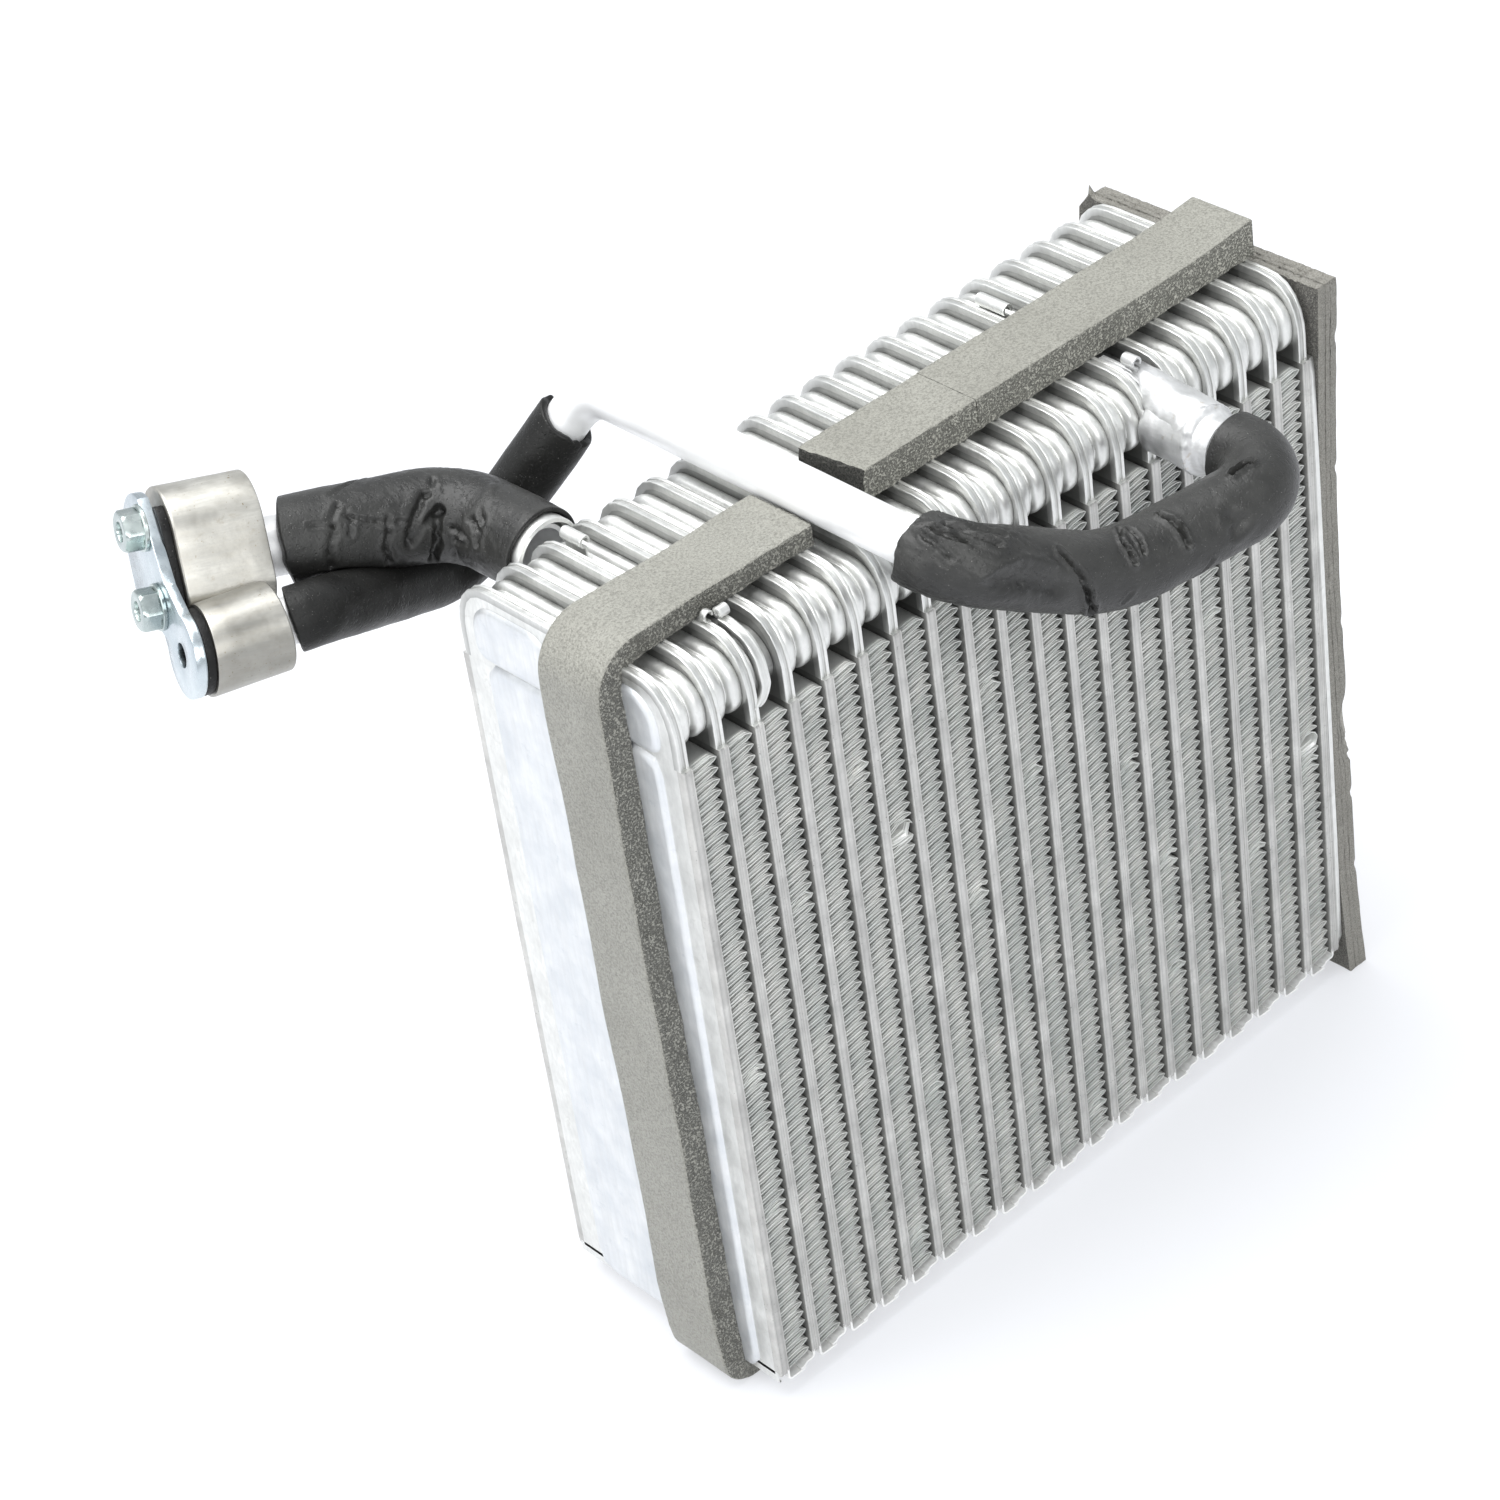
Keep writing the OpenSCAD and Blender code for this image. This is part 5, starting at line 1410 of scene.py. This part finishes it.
def inlet():
    sp = Soup()
    r = rng(64)
    band(sp, True, 14, r)
    loose_band(sp, 14, 1.9, 4.4, r)
    roll_tab(sp, 172, 8.2, 12.6, r)
    ph = r.uniform(0, 6.28, 5)

    def off(d, th, rad):
        k = 1.0 if d < 15.5 else 0.3
        lump = 0.35 * max(0.0, 1 - abs(d - 14.6) / 1.6) * (np.sin(9 * th + ph[3]) * 0.6 + np.sin(17 * th + ph[4]) * 0.5)
        return k * (0.28 * np.sin(2 * th + ph[0]) + 0.16 * np.sin(3 * th + ph[1] + d / 4) + 0.1 * np.sin(7 * th + ph[2] + d) * (d < 14)) + lump
    prof = [(-3.0, 7.0), (-2.2, 8.6), (-1.2, 9.3), (0.0, 9.5), (0.8, 9.6), (2, 9.5), (4, 9.5), (7, 9.6), (10, 9.7), (12.0, 9.8), (13.2, 10.1), (14.0, 10.2),
            (14.9, 9.9), (15.4, 9.3), (15.8, 8.9), (16.4, 8.7), (17.1, 8.5), (17.8, 8.2), (18.4, 7.9), (19.6, 7.7), (20.2, 7.4), (20.38, 6.9), (20.4, 6.42)]

    def browned(d, th):
        return 0.8 * np.exp(-((th - 1.75) / 0.62) ** 2) * np.clip((10.5 - d) / 5.0, 0, 1) * (0.7 + 0.3 * np.sin(5 * th + d)) + 0.4 * (13.6 < d < 14.2) * (np.sin(6 * th + 1) > 0.1)
    revolve(sp, prof, (174, 1.0, 220.0), (0, -1, 0), (0, 0, 1), 72, off, browned)
    # hood that widens from the hook on the tank down to the collar
    th = np.linspace(-0.5, math.pi + 0.5, 44)
    rows, tint_and_shade = [], []
    for s_ in np.linspace(0, 1, 26):
        y = 10.6 - 24.0 * s_
        a = 4.25 + 5.75 * s_ ** 0.8
        top = 235.0 - 4.9 * s_
        zb = 224.0 - 4.0 * s_
        x_ = 174 + a * np.sign(np.cos(th)) * np.abs(np.cos(th)) ** (0.8 + 0.2 * s_)
        z_ = zb + (top - zb) * np.sign(np.sin(th)) * np.abs(np.sin(th)) ** (0.75 + 0.25 * s_)
        q = np.column_stack([x_, np.full(len(th), y), z_])
        nz = noise3(q, 0.35, 4.1, 2)
        q[:, 2] += 0.3 * nz
        q[:, 0] += 0.2 * nz * np.cos(th)
        rows.append(q)
        # darker at the seam beside the flange, painted shade in the gap to the cup, and down the lower left edge, where
        # flux has browned it
        tint_and_shade.append(np.clip(0.75 * np.exp(-(s_ / 0.16) ** 2) * (nz > -0.25) + 0.55 * np.exp(-((th - math.pi) / 0.55) ** 2) * (s_ < 0.75) * (nz > -0.1), 0, 0.7))
    g = np.array(rows)
    sp.grid(g, flip=True, tint_and_shade=np.array(tint_and_shade))
    sp.cap(g[0], flip=False)
    sp.cap(g[-1], flip=True)
    return sp.out("inlet_collar", [M_FLUX], "plate_alloy", ("inlet_fitting",), 35)


M_FLUX = metal("fluxed_alloy", (0.80, 0.805, 0.81), (0.54, 0.545, 0.54), (0.34, 0.56), metallic=0.7, streak=(1, 0.25, 1), mottled=0.5, stain=(0.36, 0.27, 0.16), bump=0.0001)
cap_front()
cap_rear()
outlet()
inlet()


# ---------------------------------------------------------------- port block, seals, plate and bolts
def bf(p):
    """block frame: x towards the front, y down the face, z along the pipe"""
    p = np.asarray(p, float)
    return F1 + p[..., 0:1] * E2 + p[..., 1:2] * E1 + p[..., 2:3] * A1


def bf_dir(v):
    return v[0] * E2 + v[1] * E1 + v[2] * A1


def profile(s, n=132):
    a = np.radians(np.linspace(180, 360, 40))
    top = np.column_stack([(13.5 - s) * np.cos(a), -7.7 + (13.5 - s) * np.sin(a)])
    c = 1.2
    rest = [(13.5 - s, 9 - c), (13.5 - s - 0.12, 9), (13.5 - s - 0.7, 9 + 1.0), (9.5 - s / 2 + 0.6, 14.8 - s - 0.9), (9.5 - s / 2 - 0.4, 14.8 - s - 0.15), (9.5 - s / 2 - 1.6, 14.8 - s),
            (-9.5 + s / 2 + 1.6, 14.8 - s), (-9.5 + s / 2 + 0.4, 14.8 - s - 0.15), (-9.5 + s / 2 - 0.6, 14.8 - s - 0.9), (-13.5 + s + 0.7, 9 + 1.0), (-13.5 + s + 0.12, 9), (-13.5 + s, 9 - c)]
    return by_angle(np.vstack([top, rest]), (0.0, 0.0), n)


def by_angle(poly, cen, n):
    """outline re-sampled at even angles about a centre"""
    poly = np.asarray(poly, float)
    out = []
    q = np.vstack([poly, poly[:1]]) - cen
    for a in np.linspace(0, 2 * np.pi, n, endpoint=False):
        d = np.array([math.cos(a), math.sin(a)])
        best = None
        for p0, p1 in zip(q[:-1], q[1:]):
            e = p1 - p0
            den = d[0] * e[1] - d[1] * e[0]
            if abs(den) < 1e-12:
                continue
            t = (p0[0] * e[1] - p0[1] * e[0]) / den
            u = (p0[0] * d[1] - p0[1] * d[0]) / den
            if t > 0 and -1e-9 <= u <= 1 + 1e-9:
                best = t if best is None else max(best, t)
        out.append(np.asarray(cen) + d * best)
    return np.array(out)


def circle_at(cen, rad, n):
    a = np.linspace(0, 2 * np.pi, n, endpoint=False)
    return np.column_stack([cen[0] + rad * np.cos(a), cen[1] + rad * np.sin(a)])


def lift(loop, z):
    return bf(np.column_stack([loop, np.full(len(loop), z)]))


LB_ = 24.0


def block():
    sp = Soup()
    n = 132
    ins = [(-LB_, 0.7), (-LB_ + 0.12, 0.3), (-LB_ + 0.45, 0.05), (-LB_ + 0.8, 0.0), (-18, 0.03), (-12, 0.0), (-6, 0.04), (-0.8, 0.0), (-0.35, 0.06), (-0.1, 0.3), (0.0, 0.65)]
    rows = [lift(profile(0 + s, n), z) for z, s in ins]
    sp.grid(np.array(rows), close_v=True, flip=True)
    # faces with the bore
    rb, rf = circle_at((0, 0), 6.3, n), circle_at((0, 0), 8.25, n)
    sp.grid(np.array([rows[0], lift(rb, -LB_), lift(rb, -12)]), close_v=True, flip=False)
    sp.grid(np.array([rows[-1], lift(rf, 0.0), lift(circle_at((0, 0), 8.0, n), -0.25), lift(circle_at((0, 0), 8.0, n), -10)]), close_v=True, flip=True)
    # liquid lobe
    u = E1 - A2 * (E1 @ A2)
    m = 72
    prof = [(-3.6, 6.4), (-3.6, 11.3), (-3.72, 11.75), (-4.1, 12.0)] + [(-4.1 - d, 12.0 - 0.03 * (k % 2)) for k, d in enumerate((4, 9, 14))]
    g = []
    th = np.linspace(0, 2 * np.pi, m, endpoint=False)
    uu = unit(u)
    vv = np.cross(A2, uu)
    for d, rad in prof:
        g.append(F2 + A2 * d + (np.cos(th)[:, None] * uu + np.sin(th)[:, None] * vv) * rad)
    base = g[3]
    # back end lies on the seal plane
    def onto(q, z):
        dz = ((q - F1) @ A1 - z) / (A2 @ A1)
        return q - A2 * dz[:, None]
    g.append(onto(base, -LB_ + 0.6))
    c0 = onto(np.array([F2]), -LB_)[0]
    g.append(c0 + (onto(base, -LB_) - c0) * 0.985)
    g.append(c0 + (onto(base, -LB_) - c0) * 0.42)
    sp.grid(np.array(g), close_v=True, flip=False, tint_and_shade=0.27)
    return sp.out("port_block", [M_BLOCK], "block_alloy", ("connector_block",), 30)


LP = np.array([16.4, 22.35])
BOLTS = [(6.0, -11.2), (6.6, 9.3)]


def seal_a():
    n = 132
    z0, z1 = -26.6, -24.02
    sp = Soup()

    def lo(s):
        p = profile(1.3 + s, n)
        p[:, 1] = np.maximum(p[:, 1], -15.75 + s)
        return p
    ring = circle_at((0, 0), 6.35, n)
    rows = [lift(ring, z1), lift(lo(0.7), z1), lift(lo(0.2), z1 - 0.15), lift(lo(0.0), z1 - 0.6), lift(lo(0.12), (z0 + z1) / 2), lift(lo(0.0), z0 + 0.6),
            lift(lo(0.2), z0 + 0.15), lift(lo(0.7), z0), lift(ring, z0)]
    sp.grid(np.array(rows), close_v=True, close_u=True, flip=False)
    return sp.out("gasket_large", [M_SEAL], "seal_rubber", ("port_seal_suction",), 45, key="cut")


def seal_b():
    n = 96
    z0, z1 = -26.6, -24.02
    sp = Soup()
    rr = [(5.05, z1), (10.6, z1), (11.05, z1 - 0.15), (11.2, z1 - 0.6), (11.08, (z0 + z1) / 2), (11.2, z0 + 0.6), (11.05, z0 + 0.15), (10.6, z0), (5.05, z0)]
    rows = [lift(circle_at(LP, a, n), z) for a, z in rr]
    sp.grid(np.array(rows), close_v=True, close_u=True, flip=False)
    return sp.out("gasket_small", [M_SEAL], "seal_rubber", ("port_seal_liquid",), 45, key="cut")


def inside_plate(p, s):
    x, y = p
    a = 13.5 - 0.6 - s
    in_s = (abs(x) <= a and -7.7 <= y <= 9 - s * 0.3) or (x * x + (y + 7.7) ** 2 <= a * a and y <= -7.7) or \
           (9 - s * 0.3 < y <= 14.2 - s and abs(x) <= a - (y - 9) * 0.7)
    in_c = (x - LP[0]) ** 2 + (y - LP[1]) ** 2 <= (11.6 - s) ** 2
    q = [(0, 0), (12.9 - s, 2), (26.2 - s, 17), (7 + s, 26.2)]
    c, j = True, 3
    for i in range(4):
        x0, y0 = q[j]
        x1, y1 = q[i]
        if (x1 - x0) * (y - y0) - (y1 - y0) * (x - x0) < 0:
            c = False
        j = i
    return in_s or in_c or c


def plate_loop(s, n=150):
    out = []
    for a in np.linspace(0, 2 * np.pi, n, endpoint=False):
        d = np.array([math.cos(a), math.sin(a)])
        t, last, gap = 3.0, 3.0, 0.0
        while gap < 2.5 and t < 60:
            if inside_plate(LP + d * t, s):
                last, gap = t, 0.0
            else:
                gap += 0.12
            t += 0.12
        out.append(last)
    out = np.array(out)
    # ease the marching steps
    k = np.array([0.25, 0.5, 0.25])
    ext = np.r_[out[-1:], out, out[:1]]
    out = np.convolve(ext, k, "valid")
    a = np.linspace(0, 2 * np.pi, n, endpoint=False)
    return np.column_stack([LP[0] + out * np.cos(a), LP[1] + out * np.sin(a)])


def ship_plate():
    n = 150
    z0, z1 = -29.62, -26.62
    sp = Soup()
    base = plate_loop(0.0, n)
    c = LP

    def ins(s):
        d = base - c
        l = np.linalg.norm(d, axis=1)[:, None]
        return c + d * (1 - s / l)
    h = [(3.55, z0), (3.3, z0 + 0.12), (3.25, z0 + 0.4), (3.25, z1 - 0.3), (3.4, z1)]
    rows = [lift(circle_at(c, a, n), z) for a, z in h][::-1]
    rows += [lift(circle_at(c, 6.0, n), z0)] if False else []
    top = [lift(c + (ins(0.55) - c) * 1.0, z0), lift(ins(0.16), z0 + 0.16), lift(ins(0.0), z0 + 0.55), lift(ins(0.04), (z0 + z1) / 2), lift(ins(0.0), z1 - 0.5), lift(ins(0.2), z1 - 0.12), lift(ins(0.6), z1)]
    ring = rows + top
    sp.grid(np.array(ring), close_v=True, close_u=True, flip=True)
    return sp.out("steel_plate", [M_ZINC], "zinc_steel", ("shipping_plate",), 30)


def hexes():
    sp = Soup()
    n = 72
    for bx, by in BOLTS:
        cen = (bx, by)
        z = -LB_ - 5.64
        # washer face
        ws = [(3.0, z), (6.0, z), (6.2, z - 0.25), (6.2, z - 0.9), (6.0, z - 1.15), (5.2, z - 1.2)]
        sp.grid(np.array([lift(circle_at(cen, a, n), q) for a, q in ws]), close_v=True, flip=False)
        a = np.linspace(0, 2 * np.pi, n, endpoint=False)
        k = (a - math.radians(20)) % (math.pi / 3) - math.pi / 6
        hexr = 5.0 / np.cos(k)
        hexr = np.minimum(hexr, 5.68)
        rows = []
        for cut_, q in ((0.0, z - 1.18), (0.0, z - 4.6), (0.06, z - 5.35), (0.5, z - 6.0), (0.95, z - 6.18)):
            rad = np.minimum(hexr - cut_ * 0.1, 5.72 - cut_ * 1.15 + 0.0 * hexr) if cut_ > 0 else hexr
            rows.append(lift(np.column_stack([bx + rad * np.cos(a), by + rad * np.sin(a)]), q))
        for rad, q in ((3.0, z - 6.2), (2.7, z - 6.05), (2.6, z - 5.7), (2.5, z - 5.0)):
            rows.append(lift(circle_at(cen, rad, n), q))
        sp.grid(np.array(rows), close_v=True, flip=False)
        # painted shade on the floor of the shallow recess in the head
        sp.cap(lift(circle_at(cen, 2.5, n), z - 5.0), tint_and_shade=0.5, flip=False)
        # shank
        sp.grid(np.array([lift(circle_at(cen, 2.5, 40), z), lift(circle_at(cen, 2.5, 40), z + 12)]), close_v=True, flip=True)
        sp.cap(lift(circle_at(cen, 2.5, 40), z + 12), flip=True)
    return sp.out("hex_heads", [M_BOLT], "zinc_steel", ("hex_bolts",), 30)


M_BOLT = metal("zinc_bolt", (0.60, 0.66, 0.64), (0.36, 0.42, 0.42), (0.16, 0.36), mottled=0.25, stain=(0.36, 0.38, 0.36))
block()
seal_a()
seal_b()
ship_plate()
hexes()

# ---------------------------------------------------------------- everything that still shows as its CAD solid
BY_SLOT = {"plate_alloy": M_PLATE, "fin_alloy": M_FIN, "pipe_alloy": M_PIPE, "block_alloy": M_BLOCK,
           "strip_foam": M_STRIP, "sleeve_foam": M_SLEEVE, "seal_rubber": M_SEAL, "zinc_steel": M_ZINC}
for s in frame["record"]["subparts"]:
    o = frame["nodes"][s["node"]]
    o.data.materials.clear()
    o.data.materials.append(BY_SLOT[s["material_slot"]])

# ---------------------------------------------------------------- camera
R = np.array([[0.7234938, -0.67997019, -0.11915227],
              [-0.48197015, -0.37397193, -0.79236972],
              [0.49422819, 0.63070241, -0.5982917]])
U_, S_, V_ = np.linalg.svd(R)
R = U_ @ V_
cam = bpy.data.objects.new("camera", bpy.data.cameras.new("camera"))
cam.data.sensor_width = 36.0
cam.data.lens = 4285.366685938758 * 36.0 / 1500.0
cam.data.dof.use_dof = False
cam.data.clip_start, cam.data.clip_end = 0.05, 40.0
mw = Matrix.Identity(4)
for i in range(3):
    mw[i][0], mw[i][1], mw[i][2] = R[0][i], -R[1][i], -R[2][i]
c = row(np.array([-501.39, -665.07, 836.70]))
mw[0][3], mw[1][3], mw[2][3] = c
cam.matrix_world = mw
bpy.context.scene.collection.objects.link(cam)
bpy.context.scene.camera = cam

# ---------------------------------------------------------------- floor and light
floor_me = bpy.data.meshes.new("floor")
floor_me.from_pydata([(-6, -6, 0), (6, -6, 0), (6, 6, 0), (-6, 6, 0)], [], [(0, 1, 2, 3)])
floor = bpy.data.objects.new("floor", floor_me)
m, nt, b = new_mat("floor")
b.inputs["Base Color"].default_value = (0.455, 0.46, 0.475, 1)
b.inputs["Emission Color"].default_value = (0.96, 0.97, 1.0, 1)
b.inputs["Emission Strength"].default_value = 0.45
b.inputs["Roughness"].default_value = 0.9
b.inputs["Specular IOR Level"].default_value = 0.1
floor_me.materials.append(m)
bpy.context.scene.collection.objects.link(floor)


def area(name, loc, target, size, power, color=(1, 1, 1)):
    l = bpy.data.lights.new(name, "AREA")
    l.shape = "RECTANGLE"
    l.size, l.size_y = size
    l.energy = power
    l.color = color
    o = bpy.data.objects.new(name, l)
    o.location = loc
    o.rotation_euler = (Vector(target) - Vector(loc)).to_track_quat("-Z", "Y").to_euler()
    bpy.context.scene.collection.objects.link(o)
    return o


area("top_box", (-0.2, 0.35, 1.7), (0, 0, 0.1), (1.8, 1.5), 34)
area("left_box", (-1.5, 0.2, 0.9), (0, 0, 0.12), (1.0, 1.2), 7.5)
area("front_fill", (-0.6, -1.5, 1.15), (0, 0, 0.12), (1.4, 0.9), 13)
w = bpy.data.worlds.new("world")
w.use_nodes = True
w.node_tree.nodes["Background"].inputs[0].default_value = (0.94, 0.97, 1.0, 1)
w.node_tree.nodes["Background"].inputs[1].default_value = 0.75
bpy.context.scene.world = w
bpy.context.scene.view_settings.view_transform = "Standard"
bpy.context.scene.view_settings.look = "None"

bpy.context.view_layer.update()
